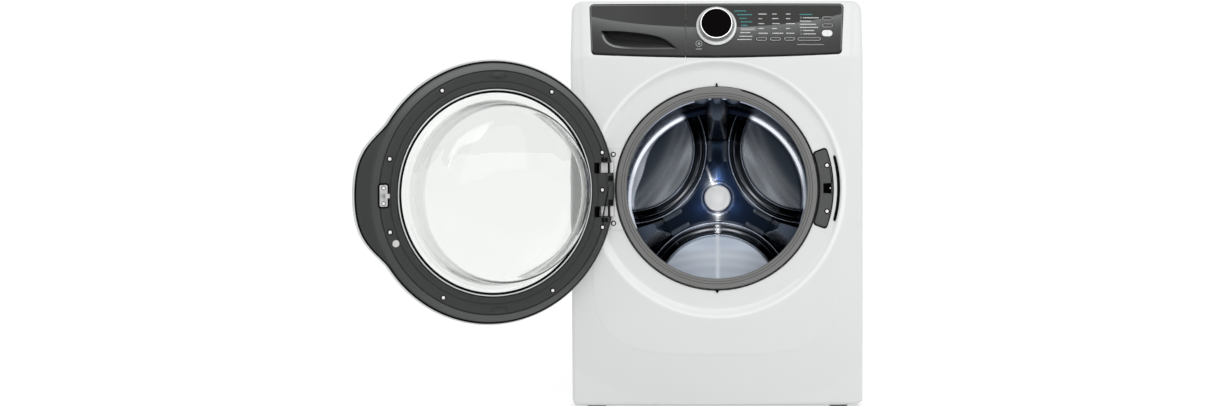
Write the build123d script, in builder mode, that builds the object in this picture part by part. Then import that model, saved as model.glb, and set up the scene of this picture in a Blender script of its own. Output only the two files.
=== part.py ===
from build123d import *
import math
import os

# A front load washing machine, standing with its door swung open. The origin is on the floor
# under the middle of the four feet, +X is to the right of someone facing it, the front looks
# towards -Y and +Z is up. All lengths are millimetres and all angles degrees.

os.makedirs("parts", exist_ok=True)

# Cabinet
WIDTH = 686.0
HEIGHT = 968.0
SHEET = 1.5  # steel sheet
PANEL_BOTTOM = 12.5  # floor gap under the panels
FRONT_Y = -382.0  # front face on the centre line
BOW = 13.0  # how much the front bulges between its two edges
SEAM_Y = -312.0  # where the front panel meets the sides and the top
BACK_Y = 374.0
EDGE_RADIUS = 10.0
TOP_RADIUS = 25.0
TOP_PANEL_DEPTH = 28.0
LEAN_START = 835.0  # height from which the console face leans back
LEAN_ANGLE = 16.0
FOOT_X, FOOT_Y = 290.0, 290.0
FOOT_RADIUS, FOOT_HEIGHT = 22.0, 11.0

# Door opening
OPENING_Z = 525.0
FLOOR_Y = -360.0  # floor of the round recess the door closes into
RECESS_FLOOR_RADIUS = 285.5
RECESS_RIM_RADIUS = 299.5
RECESS_DEPTH = 24.0
OPENING_RADIUS = 236.0
GASKET_RADIUS, GASKET_LIP_RADIUS = 238.0, 213.0

# Drum group, along an axis that falls towards the back
TILT = 5.5
DRUM_RADIUS = 262.0
DRUM_SHEET = 1.5
DRUM_FRONT, DRUM_BACK = 80.0, 480.0  # along the axis from the opening
DRUM_MOUTH_RADIUS = 220.0
DRUM_SHOULDER, DRUM_RIM_RADIUS = 436.0, 230.0  # where the wall turns in to meet the back
TUB_RADIUS, TUB_WALL = 293.0, 4.0
TUB_FRONT, TUB_JOIN, TUB_BACK = 66.0, 205.0, 524.0
SHAFT_RADIUS = 15.0
RUNNING_FIT = 0.05
PULLEY_RADIUS, MOTOR_PULLEY_RADIUS = 143.0, 11.0
PULLEY_BACK, PULLEY_WIDTH = 594.0, 20.0
MOTOR_X, MOTOR_DROP = 150.0, 333.0  # motor axis from the drum axis
MOTOR_RADIUS = 62.0
BAFFLE_ANGLES = (-90.0, 30.0, 150.0)

# Door, hung on a vertical axis and drawn at its open stop
DOOR_OPEN = 148.75
HINGE_X, HINGE_Y = -268.0, FLOOR_Y - 30.0
HINGE_PIN_RADIUS = 3.5
HINGE_ARM_Z, HINGE_ARM_HEIGHT = 50.5, 23.0
DOOR_FACE = 5.5  # inner face of the closed door above the recess floor
DOOR_FRAME_RADIUS = 281.5
DOOR_RIM_RADIUS, DOOR_RIM_HEIGHT = 292.5, 18.5
GLASS_RADIUS = 223.5
HANDLE_REACH = 322.0
HANDLE_ANGLE = 33.0
DOOR_SCREW_RADIUS = 260.0

# Console
CONSOLE_TOP, CONSOLE_BOTTOM, CONSOLE_MIDDLE = 962.0, 843.3, 834.6
CONSOLE_HALF_TOP, CONSOLE_HALF_BOTTOM = 299.0, 290.7
CONSOLE_CORNER = 11.0
CONSOLE_PROUD, CONSOLE_THICK = 0.6, 3.5
SPLIT_X, SPLIT_GAP = -72.5, 1.0
KNOB_Z = 905.6
KNOB_RADIUS, KNOB_FACE_RADIUS, KNOB_HEIGHT = 48.0, 34.4, 24.0
BUTTON_TRAVEL_GAP = 0.3
BUTTONS = {  # name: (x, z, width, height)
    "button_temperature": (105.3, 875.3, 26.6, 10.6),
    "button_soil": (138.0, 875.3, 26.6, 10.6),
    "button_spin": (170.9, 875.3, 26.6, 10.6),
    "button_options": (217.0, 875.3, 56.0, 10.6),
    "button_power": (261.0, 924.0, 26.6, 11.0),
    "button_cancel": (261.0, 907.3, 26.6, 11.0),
    "button_start": (259.8, 889.0, 25.0, 15.5),
}

# Detergent drawer
TRAY_LEFT, TRAY_RIGHT = -284.0, -80.0
TRAY_FRONT, TRAY_BACK = -336.0, -95.0
TRAY_BOTTOM, TRAY_TOP = 851.0, 928.0
WALL = 2.0

BOW_RADIUS = ((WIDTH / 2) ** 2 + BOW**2) / (2 * BOW)
SIN_TILT, COS_TILT = math.sin(math.radians(TILT)), math.cos(math.radians(TILT))
OPENING_CENTRE = (0, FLOOR_Y, OPENING_Z)

# Planes. On the opening and the door, local z points out of the machine when the door is shut.
# On each section plane, local x is a radius and local y runs along the axis of what is turned.
OPENING = Plane(origin=OPENING_CENTRE, x_dir=(1, 0, 0), z_dir=(0, -1, 0))
OPENING_SECTION = Plane(origin=OPENING_CENTRE, x_dir=(1, 0, 0), z_dir=(0, 0, -1))
OPENING_AXIS = Axis(OPENING_CENTRE, (0, -1, 0))
DRUM_DIRECTION = (0, COS_TILT, -SIN_TILT)
DRUM = Plane(origin=OPENING_CENTRE, x_dir=(1, 0, 0), z_dir=DRUM_DIRECTION)
DRUM_SECTION = Plane(origin=OPENING_CENTRE, x_dir=(1, 0, 0), z_dir=(0, SIN_TILT, COS_TILT))
DRUM_AXIS = Axis(OPENING_CENTRE, DRUM_DIRECTION)

COS_OPEN, SIN_OPEN = math.cos(math.radians(-DOOR_OPEN)), math.sin(math.radians(-DOOR_OPEN))
DOOR_X_DIR = (COS_OPEN, SIN_OPEN, 0)
DOOR_NORMAL = (SIN_OPEN, -COS_OPEN, 0)
DOOR_CENTRE = (
    HINGE_X - COS_OPEN * HINGE_X - SIN_OPEN * (FLOOR_Y - HINGE_Y),
    HINGE_Y - SIN_OPEN * HINGE_X + COS_OPEN * (FLOOR_Y - HINGE_Y),
    OPENING_Z,
)
DOOR = Plane(origin=DOOR_CENTRE, x_dir=DOOR_X_DIR, z_dir=DOOR_NORMAL)
DOOR_SECTION = Plane(origin=DOOR_CENTRE, x_dir=DOOR_X_DIR, z_dir=(0, 0, -1))
DOOR_AXIS = Axis(DOOR_CENTRE, DOOR_NORMAL)


def turn(plane, axis, points, mode=Mode.ADD):
    """Revolve a closed outline of (radius, height) points into the part being built."""
    with BuildSketch(plane) as outline:
        with BuildLine():
            Polyline(*points, close=True)
        make_face()
    revolve(outline.sketch, axis=axis, mode=mode)


def block(low, high, mode=Mode.ADD):
    """Put a box between two opposite corners into the part being built."""
    middle = [(a + b) / 2 for a, b in zip(low, high)]
    with Locations(tuple(middle)):
        Box(*[b - a for a, b in zip(low, high)], mode=mode)


def bow(x):
    """How far the front face has fallen back at x."""
    return BOW_RADIUS - math.sqrt(BOW_RADIUS**2 - x**2)


def lean(z):
    """How far the front face has leant back at height z."""
    return max(0.0, z - LEAN_START) * math.tan(math.radians(LEAN_ANGLE))


def face_plane(x, z):
    """The plane that touches the console's face at x and z, facing out."""
    slope_x = x / math.sqrt(BOW_RADIUS**2 - x**2)
    slope_z = math.tan(math.radians(LEAN_ANGLE))
    origin = (x, FRONT_Y + bow(x) + lean(z) - CONSOLE_PROUD, z)
    return Plane(origin=origin, x_dir=(1, slope_x, 0), z_dir=(slope_x, -1, slope_z))


def plan_outline(z, inset):
    """The cabinet front's outline at height z, seen from above, with its walls moved in."""
    front = FRONT_Y + lean(z) + inset
    half = WIDTH / 2 - inset
    with BuildSketch(Plane.XY.offset(z)) as plan:
        with BuildLine():
            ThreePointArc((-half, front + BOW), (0, front), (half, front + BOW))
            Polyline((half, front + BOW), (half, SEAM_Y), (-half, SEAM_Y), (-half, front + BOW))
        make_face()
        fillet(plan.vertices().sort_by(Axis.Y)[:2], EDGE_RADIUS)
    return plan.sketch


def front_block(inset):
    """The front of the cabinet as a solid, with every face but the back one moved in."""
    with BuildPart() as front:
        low, high = PANEL_BOTTOM + inset, HEIGHT - inset
        extrude(plan_outline(low, inset), amount=LEAN_START - low)
        loft([plan_outline(LEAN_START, inset), plan_outline(high, inset)], ruled=True)
        with BuildSketch(Plane.XZ) as outline:
            with Locations((0, (low + high) / 2)):
                Rectangle(WIDTH - 2 * inset, high - low)
            fillet(outline.vertices().group_by(Axis.Y)[-1], TOP_RADIUS - inset)
        extrude(amount=-FRONT_Y * 2, mode=Mode.INTERSECT)
    return front.part


def console_outline(left, right, grow=0.0):
    """The dark console's outline between two heights of x, seen from the front."""
    with BuildSketch(Plane.XZ) as outline:
        with BuildLine():
            ThreePointArc(
                (-CONSOLE_HALF_BOTTOM, CONSOLE_BOTTOM),
                (0, CONSOLE_MIDDLE),
                (CONSOLE_HALF_BOTTOM, CONSOLE_BOTTOM),
            )
            Polyline(
                (CONSOLE_HALF_BOTTOM, CONSOLE_BOTTOM),
                (CONSOLE_HALF_TOP, CONSOLE_TOP),
                (-CONSOLE_HALF_TOP, CONSOLE_TOP),
                (-CONSOLE_HALF_BOTTOM, CONSOLE_BOTTOM),
            )
        make_face()
        fillet(outline.vertices(), CONSOLE_CORNER)
        if grow:
            offset(amount=grow)
        with Locations(((left + right) / 2, HEIGHT)):
            Rectangle(right - left, HEIGHT, mode=Mode.INTERSECT)
    return outline.sketch


def pocket_outline(grow, back=0.0):
    """The swept finger pocket in the drawer's front, drawn on the plane at y = back."""
    left, right = (-272 - grow, 896 + grow), (-96 + 2 * grow, 852 - grow)
    low_left = (-247 - grow, 857 - grow)
    with BuildSketch(Plane.XZ.offset(-back)) as outline:
        with BuildLine():
            ThreePointArc(left, (-177, 890 + grow), right)
            ThreePointArc(right, (-183, 850 - grow), low_left)
            ThreePointArc(low_left, (-266 - grow, 873), left)
        make_face()
        fillet(outline.vertices(), 3.0)
    return outline.sketch


def drum_point(x, down, along):
    """A point of the drum's own frame, as a point of the machine's."""
    y = FLOOR_Y + along * COS_TILT - down * SIN_TILT
    return (x, y, OPENING_Z - along * SIN_TILT - down * COS_TILT)


# ---------------------------------------------------------------- cabinet

RECESS_SHEET = [
    (OPENING_RADIUS, 0),
    (RECESS_FLOOR_RADIUS, 0),
    (RECESS_RIM_RADIUS, RECESS_DEPTH),
    (RECESS_RIM_RADIUS + 2 * SHEET, RECESS_DEPTH),
    (RECESS_FLOOR_RADIUS + SHEET, -SHEET),
    (OPENING_RADIUS + SHEET, -SHEET),
    (OPENING_RADIUS + SHEET, -14),
    (OPENING_RADIUS, -14),
]
RECESS_SPACE = [
    (0, -20),
    (OPENING_RADIUS, -20),
    (OPENING_RADIUS, 0),
    (RECESS_FLOOR_RADIUS, 0),
    (RECESS_RIM_RADIUS, RECESS_DEPTH),
    (0, RECESS_DEPTH),
]
SLIT_INNER, SLIT_OUTER, SLIT_HALF_ANGLE = 280.0, 285.0, 16.0
LATCH_SLOT = (260.5, 22.0, 25.0)  # x of its middle, width, height
LATCH_SCREWS = [(258.6, -54), (258.6, 54)]
BRACKET_SCREWS = [(-243.5, -80.8), (-243.5, 80.8)]
SCREW_HOLE = 2.3


def arc_band(inner, outer, half_angle, corner=0.0):
    """A band of a ring on the right of the opening, from -half_angle to half_angle."""
    reach = 2 * outer
    rise = reach * math.tan(math.radians(half_angle))
    with BuildSketch(OPENING) as band:
        Circle(outer)
        Circle(inner, mode=Mode.SUBTRACT)
        with BuildLine():
            Polyline((0, 0), (reach, rise), (reach, -rise), close=True)
        make_face(mode=Mode.INTERSECT)
        if corner:
            fillet(band.vertices(), corner)
    return band.sketch


with BuildPart() as recess_wall:
    turn(OPENING_SECTION, OPENING_AXIS, RECESS_SHEET)
    add(front_block(0), mode=Mode.INTERSECT)

with BuildPart() as front_panel:
    add(front_block(0))
    add(front_block(SHEET), mode=Mode.SUBTRACT)
    turn(OPENING_SECTION, OPENING_AXIS, RECESS_SPACE, mode=Mode.SUBTRACT)
    add(recess_wall.part)
    extrude(
        console_outline(-WIDTH / 2, WIDTH / 2, grow=0.8),
        amount=-FRONT_Y + 40,
        mode=Mode.SUBTRACT,
    )
    extrude(
        arc_band(SLIT_INNER - 0.2, SLIT_OUTER + 0.2, SLIT_HALF_ANGLE + 0.1),
        amount=4,
        both=True,
        mode=Mode.SUBTRACT,
    )
    with BuildSketch(OPENING):
        with Locations((LATCH_SLOT[0], 0)):
            Rectangle(LATCH_SLOT[1], LATCH_SLOT[2])
        with Locations(*LATCH_SCREWS, *BRACKET_SCREWS):
            Circle(SCREW_HOLE)
    extrude(amount=4, both=True, mode=Mode.SUBTRACT)
front_panel.part.label = "front_panel"
export_step(front_panel.part, "parts/front_panel.step")

FLANGE = 12.0
SIDE_TOP = HEIGHT - TOP_PANEL_DEPTH
HANGER_Z, HANGER_Y = 906.0, -60.0
SPRING_X, SPRING_LOW, SPRING_TURNS = 262.0, 730.0, 20
for name, side in (("side_panel_left", -1), ("side_panel_right", 1)):
    with BuildPart() as side_panel:
        wall_out, wall_in = side * WIDTH / 2, side * (WIDTH / 2 - SHEET)
        flange_in = side * (WIDTH / 2 - FLANGE)
        with BuildSketch(Plane.XY.offset(PANEL_BOTTOM)):
            with BuildLine():
                Polyline(
                    (wall_out, SEAM_Y + 1),
                    (wall_out, BACK_Y),
                    (flange_in, BACK_Y),
                    (flange_in, BACK_Y - SHEET),
                    (wall_in, BACK_Y - SHEET),
                    (wall_in, SEAM_Y + 1 + SHEET),
                    (flange_in, SEAM_Y + 1 + SHEET),
                    (flange_in, SEAM_Y + 1),
                    close=True,
                )
            make_face()
        extrude(amount=SIDE_TOP - PANEL_BOTTOM)
        # the welded shelf that a suspension spring hangs from
        shelf = sorted((side * (SPRING_X - 16), wall_in))
        block((shelf[0], HANGER_Y - 20, HANGER_Z), (shelf[1], HANGER_Y + 20, HANGER_Z + 4))
    side_panel.part.label = name
    export_step(side_panel.part, f"parts/{name}.step")


def top_outline(inset):
    """The top panel's outline, seen from the front."""
    with BuildSketch(Plane.XZ.offset(-SEAM_Y - 1 - inset)) as outline:
        with Locations((0, HEIGHT - TOP_PANEL_DEPTH / 2 - inset)):
            Rectangle(WIDTH - 2 * inset, TOP_PANEL_DEPTH)
        fillet(outline.vertices().group_by(Axis.Y)[-1], TOP_RADIUS - inset)
    return outline.sketch


with BuildPart() as top_panel:
    extrude(top_outline(0), amount=SEAM_Y + 1 - BACK_Y)
    extrude(top_outline(SHEET), amount=SEAM_Y + 1 - BACK_Y + 2 * SHEET, mode=Mode.SUBTRACT)
top_panel.part.label = "top_panel"
export_step(top_panel.part, "parts/top_panel.step")

REAR_OPENING = (400.0, 520.0, 470.0, 40.0)  # width, height, middle height, corner radius
INLETS = [(-285.0, 885.0), (-235.0, 885.0)]  # cold and hot, (x, z)
INLET_THREAD_RADIUS = 13.2
INLET_HOSES = (-218.0, -196.0)
DRAIN_X, DRAIN_Z = 280.0, 850.0
DRAIN_RADIUS = 11.0
GLAND_X, GLAND_Z = 280.0, 905.0
TRANSIT_X, TRANSIT_Z, TRANSIT_RADIUS, TRANSIT_MIDDLE = 470.0, 340.0, 9.0, 480.0

with BuildPart() as rear_panel:
    with BuildSketch(Plane.XZ.offset(-BACK_Y)):
        with Locations((0, (PANEL_BOTTOM + SIDE_TOP) / 2 + 1)):
            Rectangle(WIDTH - 6, SIDE_TOP - PANEL_BOTTOM - 3)
        with Locations((0, REAR_OPENING[2])):
            RectangleRounded(REAR_OPENING[0], REAR_OPENING[1], REAR_OPENING[3], mode=Mode.SUBTRACT)
        with Locations(*INLETS):
            Circle(INLET_THREAD_RADIUS + 2, mode=Mode.SUBTRACT)
        with Locations((DRAIN_X, DRAIN_Z)):
            Circle(DRAIN_RADIUS + 2, mode=Mode.SUBTRACT)
        with Locations((GLAND_X, GLAND_Z)):
            Circle(9, mode=Mode.SUBTRACT)
        with Locations((0, TRANSIT_MIDDLE)):
            with GridLocations(TRANSIT_X, TRANSIT_Z, 2, 2):
                Circle(TRANSIT_RADIUS, mode=Mode.SUBTRACT)
    extrude(amount=-SHEET)
rear_panel.part.label = "rear_panel"
export_step(rear_panel.part, "parts/rear_panel.step")

with BuildPart() as rear_cover:
    cover_y = BACK_Y + SHEET
    with BuildSketch(Plane.XZ.offset(-cover_y)):
        with Locations((0, REAR_OPENING[2])):
            RectangleRounded(REAR_OPENING[0] + 30, REAR_OPENING[1] + 30, REAR_OPENING[3] + 15)
    extrude(amount=-SHEET)
    with BuildSketch(Plane.XZ.offset(-cover_y)):
        with Locations((0, REAR_OPENING[2])):
            RectangleRounded(REAR_OPENING[0] - 20, REAR_OPENING[1] - 20, REAR_OPENING[3])
    extrude(amount=-14, taper=30)
    with BuildSketch(Plane.XZ.offset(-cover_y)):
        with Locations((0, REAR_OPENING[2])):
            RectangleRounded(REAR_OPENING[0] - 24, REAR_OPENING[1] - 24, REAR_OPENING[3] - 2)
    extrude(amount=-12.5, taper=30, mode=Mode.SUBTRACT)
rear_cover.part.label = "rear_cover"
export_step(rear_cover.part, "parts/rear_cover.step")

BASE_Z, BASE_HALF, BASE_FRONT, BASE_BACK = 15.0, 329.0, -338.0, 370.0
with BuildPart() as base_pan:
    block((-BASE_HALF, BASE_FRONT, BASE_Z), (BASE_HALF, BASE_BACK, BASE_Z + 35))
    block(
        (-BASE_HALF + 2.5, BASE_FRONT + 2.5, BASE_Z + 2.5),
        (BASE_HALF - 2.5, BASE_BACK - 2.5, BASE_Z + 40),
        mode=Mode.SUBTRACT,
    )
    for rib_x in (-205.0, 205.0):
        block((rib_x - 12, BASE_FRONT + 2.5, BASE_Z), (rib_x + 12, BASE_BACK - 2.5, BASE_Z + 10))
    with BuildSketch(Plane.XY.offset(BASE_Z)):
        with GridLocations(2 * FOOT_X, 2 * FOOT_Y, 2, 2):
            Circle(6.2)
    extrude(amount=20, mode=Mode.SUBTRACT)
base_pan.part.label = "base_pan"
export_step(base_pan.part, "parts/base_pan.step")

with BuildPart() as levelling_feet:
    with BuildSketch(Plane.XY):
        with GridLocations(2 * FOOT_X, 2 * FOOT_Y, 2, 2):
            Circle(FOOT_RADIUS)
    extrude(amount=FOOT_HEIGHT)
    with BuildSketch(Plane.XY.offset(FOOT_HEIGHT)):
        with GridLocations(2 * FOOT_X, 2 * FOOT_Y, 2, 2):
            Circle(6)
    extrude(amount=44)
    with BuildSketch(Plane.XY.offset(BASE_Z + 2.5)):
        with GridLocations(2 * FOOT_X, 2 * FOOT_Y, 2, 2):
            RegularPolygon(radius=10.5, side_count=6)
    extrude(amount=8)
levelling_feet.part.label = "levelling_feet"
export_step(levelling_feet.part, "parts/levelling_feet.step")

# ---------------------------------------------------------------- console

with BuildPart() as console_slab:
    add(front_block(-CONSOLE_PROUD))
    add(front_block(CONSOLE_THICK), mode=Mode.SUBTRACT)


def slab_part(left, right):
    """Cut the console slab to the part of its outline between left and right."""
    add(console_slab.part)
    extrude(console_outline(left, right), amount=-FRONT_Y + 40, mode=Mode.INTERSECT)


def button_outline(x, z, width, height, grow, depth):
    """A button's rounded outline, on a plane at depth behind the console's face."""
    with BuildSketch(face_plane(x, z).offset(-depth)) as outline:
        SlotOverall(width + 2 * grow, height + 2 * grow)
    return outline.sketch


KNOB = face_plane(0, KNOB_Z)
KNOB_AXIS = Axis(KNOB.origin, KNOB.z_dir)
KNOB_SECTION = Plane(origin=KNOB.origin, x_dir=KNOB.x_dir, z_dir=KNOB.x_dir.cross(KNOB.z_dir))
KNOB_SHAFT_RADIUS = 5.0

with BuildPart() as control_fascia:
    slab_part(SPLIT_X + SPLIT_GAP / 2, WIDTH / 2)
    with BuildSketch(KNOB):
        Circle(KNOB_SHAFT_RADIUS + RUNNING_FIT)
    extrude(amount=12, both=True, mode=Mode.SUBTRACT)
    for place in BUTTONS.values():
        hole = button_outline(*place, BUTTON_TRAVEL_GAP, 0)
        extrude(hole, amount=8, both=True, mode=Mode.SUBTRACT)
control_fascia.part.label = "control_fascia"
export_step(control_fascia.part, "parts/control_fascia.step")

for name, place in BUTTONS.items():
    with BuildPart() as button:
        extrude(button_outline(*place, 0, 5.5), amount=6.3)
        extrude(button_outline(*place, 1.0, 6.7), amount=1.2)
    button.part.label = name
    export_step(button.part, f"parts/{name}.step")

with BuildPart() as program_knob:
    knob_profile = [
        (0, 17.5),
        (0, 19.5),
        (KNOB_FACE_RADIUS + 0.1, 19.5),
        (KNOB_FACE_RADIUS + 0.1, KNOB_HEIGHT),
        (KNOB_FACE_RADIUS + 2.1, KNOB_HEIGHT),
        (KNOB_RADIUS, 4.0),
        (KNOB_RADIUS, 1.5),
        (KNOB_RADIUS - 2.0, 1.5),
        (KNOB_FACE_RADIUS, 17.5),
    ]
    turn(KNOB_SECTION, KNOB_AXIS, knob_profile)
    with BuildSketch(KNOB.offset(-14)):
        Circle(KNOB_SHAFT_RADIUS)
    extrude(amount=32)
program_knob.part.label = "program_knob"
export_step(program_knob.part, "parts/program_knob.step")

with BuildPart() as knob_face:
    with BuildSketch(KNOB.offset(19.6)):
        Circle(KNOB_FACE_RADIUS)
    extrude(amount=3.6)
    fillet(knob_face.faces().sort_by(KNOB_AXIS)[-1].edges(), 1.0)
knob_face.part.label = "knob_face"
export_step(knob_face.part, "parts/knob_face.step")

with BuildPart() as control_housing:
    block((-66, -322, 848), (286, -286, 938))
    block((-63.5, -324, 850.5), (283.5, -288.5, 935.5), mode=Mode.SUBTRACT)
control_housing.part.label = "control_housing"
export_step(control_housing.part, "parts/control_housing.step")

with BuildPart() as control_board:
    block((-55, -306, 856), (275, -304.4, 930))
    for chip_x, chip_z, chip_width in ((20, 880, 40), (120, 912, 24), (210, 875, 60)):
        block((chip_x - chip_width / 2, -304.4, chip_z - 10), (chip_x + chip_width / 2, -298, chip_z + 10))
control_board.part.label = "control_board"
export_step(control_board.part, "parts/control_board.step")

# ---------------------------------------------------------------- detergent drawer

POCKET_BACK = -345.0
with BuildPart() as pocket_shell:
    add(front_block(1.5))
    extrude(pocket_outline(WALL), amount=-FRONT_Y + 40, mode=Mode.INTERSECT)
    block((-WIDTH / 2, POCKET_BACK + WALL, 0), (WIDTH / 2, 0, HEIGHT), mode=Mode.SUBTRACT)

with BuildPart() as drawer_skirt:
    add(front_block(2.0))
    block((-288, -420, 847), (-77, TRAY_FRONT, 931), mode=Mode.INTERSECT)
    block((-286, -420, 849), (-79, 0, 929), mode=Mode.SUBTRACT)

with BuildPart() as drawer_front:
    slab_part(-WIDTH / 2, SPLIT_X - SPLIT_GAP / 2)
    add(drawer_skirt.part)
    add(pocket_shell.part)
    extrude(pocket_outline(0, POCKET_BACK), amount=80, mode=Mode.SUBTRACT)
drawer_front.part.label = "drawer_front"
export_step(drawer_front.part, "parts/drawer_front.step")

DIVIDERS = (-214.0, -148.0)
with BuildPart() as drawer_tray:
    block((TRAY_LEFT, TRAY_FRONT, TRAY_BOTTOM), (TRAY_RIGHT, TRAY_BACK, TRAY_TOP))
    edges_x = [TRAY_LEFT, *DIVIDERS, TRAY_RIGHT]
    for cell_left, cell_right in zip(edges_x, edges_x[1:]):
        block(
            (cell_left + WALL, TRAY_FRONT + WALL, TRAY_BOTTOM + WALL),
            (cell_right - WALL, TRAY_BACK - WALL, TRAY_TOP + WALL),
            mode=Mode.SUBTRACT,
        )
drawer_tray.part.label = "drawer_tray"
export_step(drawer_tray.part, "parts/drawer_tray.step")

with BuildPart() as dispenser_housing:
    block((-290.5, -333, 845), (-73.5, -88, 938))
    block((-288, -334, 847.5), (-76, -91, 935.5), mode=Mode.SUBTRACT)
    with BuildSketch(Plane.XY.offset(830)):
        with Locations((-180, -180)):
            Circle(18)
            Circle(15, mode=Mode.SUBTRACT)
    extrude(amount=15)
    with BuildSketch(Plane.XY.offset(829)):
        with Locations((-180, -180)):
            Circle(15)
    extrude(amount=20, mode=Mode.SUBTRACT)
dispenser_housing.part.label = "dispenser_housing"
export_step(dispenser_housing.part, "parts/dispenser_housing.step")

# ---------------------------------------------------------------- tub

SUMP_AT = (0.0, -239.0)
with BuildPart() as tub_front:
    turn(
        DRUM_SECTION,
        DRUM_AXIS,
        [
            (0, TUB_FRONT - 8),
            (246.5, TUB_FRONT - 8),
            (246.5, TUB_FRONT),
            (TUB_RADIUS, TUB_FRONT + 2),
            (TUB_RADIUS, TUB_JOIN),
            (0, TUB_JOIN),
        ],
    )
    with Locations((*SUMP_AT, 218)):
        Cylinder(radius=22, height=34)
    turn(
        DRUM_SECTION,
        DRUM_AXIS,
        [
            (0, TUB_FRONT - 10),
            (243, TUB_FRONT - 10),
            (243, TUB_FRONT + 4),
            (TUB_RADIUS - TUB_WALL, TUB_FRONT + 6),
            (TUB_RADIUS - TUB_WALL, TUB_JOIN + 2),
            (0, TUB_JOIN + 2),
        ],
        mode=Mode.SUBTRACT,
    )
    with Locations((*SUMP_AT, 218)):
        Cylinder(radius=18, height=60, mode=Mode.SUBTRACT)
tub_front.part.label = "tub_front"
export_step(tub_front.part, "parts/tub_front.step")

BEARING_HOUSING_RADIUS = 60.0
FRONT_BEARING = (31.0, 512.0, 530.0)  # radius, start, end
REAR_BEARING = (26.0, 566.0, 582.0)
with BuildPart() as tub_rear:
    turn(
        DRUM_SECTION,
        DRUM_AXIS,
        [
            (TUB_RADIUS - TUB_WALL, TUB_JOIN + 0.5),
            (TUB_RADIUS, TUB_JOIN + 0.5),
            (TUB_RADIUS, TUB_BACK),
            (BEARING_HOUSING_RADIUS, TUB_BACK),
            (BEARING_HOUSING_RADIUS, 590),
            (20, 590),
            (20, REAR_BEARING[2]),
            (REAR_BEARING[0], REAR_BEARING[2]),
            (REAR_BEARING[0], REAR_BEARING[1]),
            (22, REAR_BEARING[1]),
            (22, FRONT_BEARING[2]),
            (FRONT_BEARING[0], FRONT_BEARING[2]),
            (FRONT_BEARING[0], FRONT_BEARING[1]),
            (BEARING_HOUSING_RADIUS, FRONT_BEARING[1]),
            (BEARING_HOUSING_RADIUS, TUB_BACK - TUB_WALL),
            (TUB_RADIUS - TUB_WALL, TUB_BACK - TUB_WALL),
        ],
    )
    # radial ribs behind the back wall
    with BuildSketch(DRUM.offset(TUB_BACK)):
        with PolarLocations(167.5, 8, start_angle=22.5):
            Rectangle(235, 5)
        Circle(40, mode=Mode.SUBTRACT)
    extrude(amount=24)
    # the lugs that the suspension springs hook under, trimmed to the tub's outside
    for lug_x in (-SPRING_X, SPRING_X):
        block((lug_x - 12, HANGER_Y - 10, 600), (lug_x + 12, HANGER_Y + 10, SPRING_LOW - 1))
    turn(
        DRUM_SECTION,
        DRUM_AXIS,
        [
            (0, TUB_JOIN + 1),
            (TUB_RADIUS - TUB_WALL, TUB_JOIN + 1),
            (TUB_RADIUS - TUB_WALL, FRONT_BEARING[1] - 1),
            (0, FRONT_BEARING[1] - 1),
        ],
        mode=Mode.SUBTRACT,
    )
    # the opening for the heater in the back wall
    with BuildSketch(DRUM.offset(TUB_BACK - 10)):
        with Locations((0, 275)):
            Rectangle(60, 18)
    extrude(amount=20, mode=Mode.SUBTRACT)
tub_rear.part.label = "tub_rear"
export_step(tub_rear.part, "parts/tub_rear.step")

with BuildPart() as tub_heater:
    heater_ends = [(-20, 275, 519.5), (-20, 275, 215), (20, 275, 215), (20, 275, 519.5)]
    with BuildLine() as heater_path:
        FilletPolyline(*[drum_point(*point) for point in heater_ends], radius=19)
    with BuildSketch(Plane(origin=heater_path.line @ 0, z_dir=heater_path.line % 0)):
        Circle(3.5)
    sweep(path=heater_path.line)
    with BuildSketch(DRUM.offset(519)):
        with Locations((0, 275)):
            Rectangle(59.5, 17.5)
    extrude(amount=16)
tub_heater.part.label = "tub_heater"
export_step(tub_heater.part, "parts/tub_heater.step")

with BuildPart() as drum_bearings:
    for outer, start, end in (FRONT_BEARING, REAR_BEARING):
        turn(
            DRUM_SECTION,
            DRUM_AXIS,
            [
                (SHAFT_RADIUS + RUNNING_FIT, start + 0.1),
                (outer - 0.03, start + 0.1),
                (outer - 0.03, end - 0.1),
                (SHAFT_RADIUS + RUNNING_FIT, end - 0.1),
            ],
        )
drum_bearings.part.label = "drum_bearings"
export_step(drum_bearings.part, "parts/drum_bearings.step")

with BuildPart() as counterweights:
    with BuildSketch(DRUM.offset(40)):
        Circle(312)
        Circle(257, mode=Mode.SUBTRACT)
        for side in (-1, 1):
            with BuildLine():
                Polyline((0, 0), (side * 500, -300), (side * 500, 300), close=True)
            make_face(mode=Mode.SUBTRACT)
    extrude(amount=25)
counterweights.part.label = "counterweights"
export_step(counterweights.part, "parts/counterweights.step")

# ---------------------------------------------------------------- door gasket

GASKET_WALL = 3.0
SLEEVE_RADIUS = 247.0  # where the gasket grips the tub's neck
SLEEVE_START, SLEEVE_TURN, SLEEVE_END = 24.0, 50.0, 64.0
with BuildPart() as sleeve_inside:
    with BuildSketch(OPENING.offset(-SLEEVE_START - GASKET_WALL)) as near_circle:
        Circle(OPENING_RADIUS - GASKET_WALL)
    with BuildSketch(DRUM.offset(SLEEVE_TURN + GASKET_WALL)) as far_circle:
        Circle(SLEEVE_RADIUS)
    loft([near_circle.sketch, far_circle.sketch])
    extrude(far_circle.sketch, amount=SLEEVE_END)

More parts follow.
